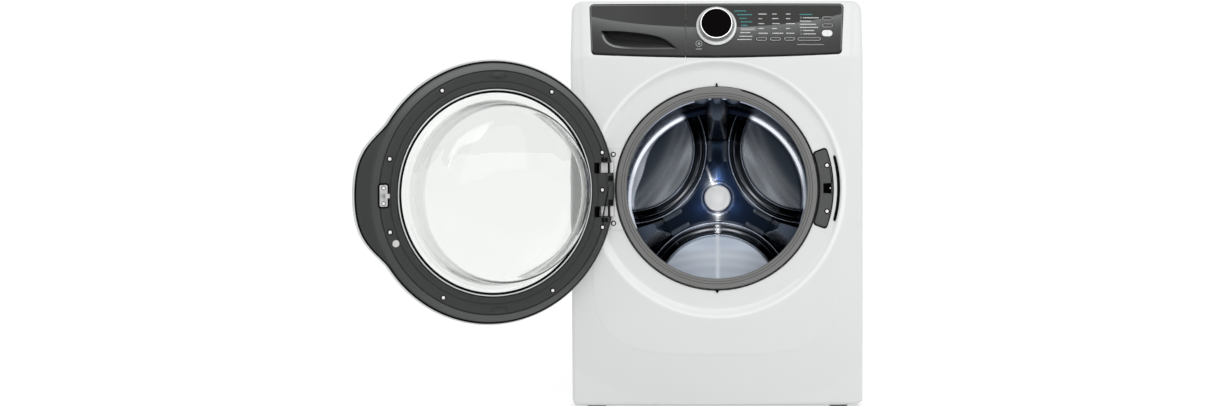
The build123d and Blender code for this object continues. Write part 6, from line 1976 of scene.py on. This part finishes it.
@dataclass
class Workings:
    """The parts inside and behind, carried over in their own finishes."""

    finishes: tuple = (
        (Finish("tub plastic", (196, 198, 196), 0.55, wander=0.04), "tub_front", "tub_rear"),
        (Finish("bearing steel", (186, 188, 190), 0.25, 1.0, ROLLED), "drum_bearings"),
        (Finish("ground shaft", (198, 200, 202), 0.2, 1.0, ROLLED), "drum_shaft", "motor_pulley"),
        (Finish("heater tube", (120, 116, 110), 0.4, 1.0, ROLLED, 0.12), "tub_heater"),
        (Finish("concrete", (150, 148, 142), 0.9, 0.0, CAST, 0.14), "counterweights"),
        (Finish("motor casing", (62, 64, 68), 0.5, 0.6, CAST, 0.08), "motor"),
        (Finish("belt rubber", (24, 24, 25), 0.7, 0.0, RUBBER, 0.15), "drive_belt"),
        (Finish("damper plastic", (72, 76, 82), 0.5, wander=0.08), "dampers"),
        (Finish("spring steel", (128, 130, 134), 0.35, 1.0, UPRIGHT), "suspension_springs"),
        (Finish("hose rubber", (38, 38, 40), 0.6, 0.0, RUBBER, 0.12), "hoses"),
        (Finish("foot rubber", (150, 152, 152), 0.65, 0.0, RUBBER, 0.12), "levelling_feet"),
        (Finish("valve plastic", (214, 214, 208), wander=0.04), "inlet_valves", "drain_pump"),
        (Finish("fitting plastic", (58, 60, 62), 0.5, wander=0.08), "rear_fittings"),
    )

    def build(self) -> None:
        """Dress each of them."""
        for finish, *nodes in self.finishes:
            dress(finish, *nodes)


# ---- studio


@dataclass
class Studio:
    """The floor, the white surround, the lamps and the camera; level is the soft light's."""

    level: float = 0.74

    def build(self) -> None:
        """Make them all."""
        self.surround()
        self.ground()
        self.lamps()
        self.camera()

    def surround(self) -> None:
        """White to the camera, to gloss and through glass; to soft light a level, 12 % more at +X."""
        world = bpy.data.worlds.new("surround")
        bpy.context.scene.world = world
        world.use_nodes = True
        world.node_tree.nodes.clear()
        wiring = Wiring(world.node_tree)
        generated = wiring.node("ShaderNodeTexCoord").outputs["Generated"]
        way = wiring.node("ShaderNodeSeparateXYZ", {0: generated}).outputs
        strength = wiring.math("ADD", wiring.math("MULTIPLY", way["X"], 0.12 * self.level), self.level)
        soft, white = (
            wiring.node("ShaderNodeBackground", {0: (1, 1, 1, 1), 1: power}).outputs[0]
            for power in (strength, 1.0)
        )
        mixed = wiring.node("ShaderNodeMixShader", {0: wiring.seen(), 1: soft, 2: white}).outputs[0]
        wiring.node("ShaderNodeOutputWorld", {0: mixed})

    def ground(self) -> None:
        """A pale floor, a disc 40 m wide to each side, that glows to the camera and to gloss."""
        radius = np.array([0.0, 0.5, 1.5, 4.0, 12.0, 40.0])
        level = Placement((0, 0, 0), (1, 0, 0), (0, 1, 0), (0, 0, 1))
        shell = turned(level, np.stack([radius, 0 * radius], -1), 64).facing(level.out)
        mesh = bpy.data.meshes.new("floor")
        mesh.from_pydata(shell.verts.tolist(), [], [list(dict.fromkeys(q)) for q in shell.quads.tolist()])
        material, wiring = new_material("studio floor")
        plain = wiring.node("ShaderNodeBsdfDiffuse", {0: linear((232, 232, 232))}).outputs[0]
        strength = wiring.math("MULTIPLY", wiring.seen(), 0.5)
        glow = wiring.node("ShaderNodeEmission", {0: (1, 1, 1, 1), 1: strength}).outputs[0]
        both = wiring.node("ShaderNodeAddShader", {0: plain, 1: glow}).outputs[0]
        wiring.node("ShaderNodeOutputMaterial", {0: both})
        mesh.materials.append(material)
        floor = bpy.data.objects.new("floor", mesh)
        bpy.context.scene.collection.objects.link(floor)

    def lamps(self) -> None:
        """Soft panels: a wide key in front and above, a fill from the right and a narrow strip."""
        self.lamp("key", (0.35, -3.6, 3.0), (0, -0.3, 0.5), (3.2, 1.8), 34)
        self.lamp("fill", (2.0, -3.1, 1.5), (0, -0.3, 0.5), (1.6, 2.0), 5)
        self.lamp("strip", (0.0, -3.3, 1.45), (0, 0.1, 0.48), (0.035, 0.8), 2.5)

    def lamp(self, name: str, spot: Point, aim: Point, size: Pair, power: float) -> None:
        """Add a rectangular lamp at spot that shines towards aim."""
        data = bpy.data.lights.new(name, "AREA")
        data.shape = "RECTANGLE"
        data.size, data.size_y = size
        data.energy = power
        lamp = bpy.data.objects.new(name, data)
        lamp.location = spot
        lamp.rotation_euler = (Vector(aim) - Vector(spot)).to_track_quat("-Z", "Y").to_euler()
        bpy.context.scene.collection.objects.link(lamp)

    def camera(self) -> None:
        """A camera in front at two thirds of the machine's height, looking slightly down."""
        data = bpy.data.cameras.new("camera")
        data.lens, data.sensor_width = 43.0235, 36.0
        data.shift_x, data.shift_y = -0.09460, -0.04480
        camera = bpy.data.objects.new("camera", data)
        camera.location = (0.0119, -3.7699, 0.6661)
        camera.rotation_euler = (math.radians(89.205), math.radians(0.17), 0.0)
        bpy.context.scene.collection.objects.link(camera)
        bpy.context.scene.camera = camera


GROUPS = {
    "grain": grain_group(),
    "handling": handling_group(),
    "spangle": spangle_group(),
    "perforation": perforation_group(),
}


def main() -> None:
    """Build every class in order and log each one as it is done; each piece logs its faces as it is made."""
    logging.basicConfig(level=logging.INFO, format="%(message)s")
    bpy.context.scene.view_settings.view_transform = "Standard"
    builders = (Studio(), FrontPanel(), Cabinet(), Console(), Knob(), Drawer(), Gasket(), Drum())
    for builder in (*builders, LatchSide(), Hinge(), Door(), Workings()):
        builder.build()
        log.info("%s done", type(builder).__name__)


if __name__ == "__main__":
    main()
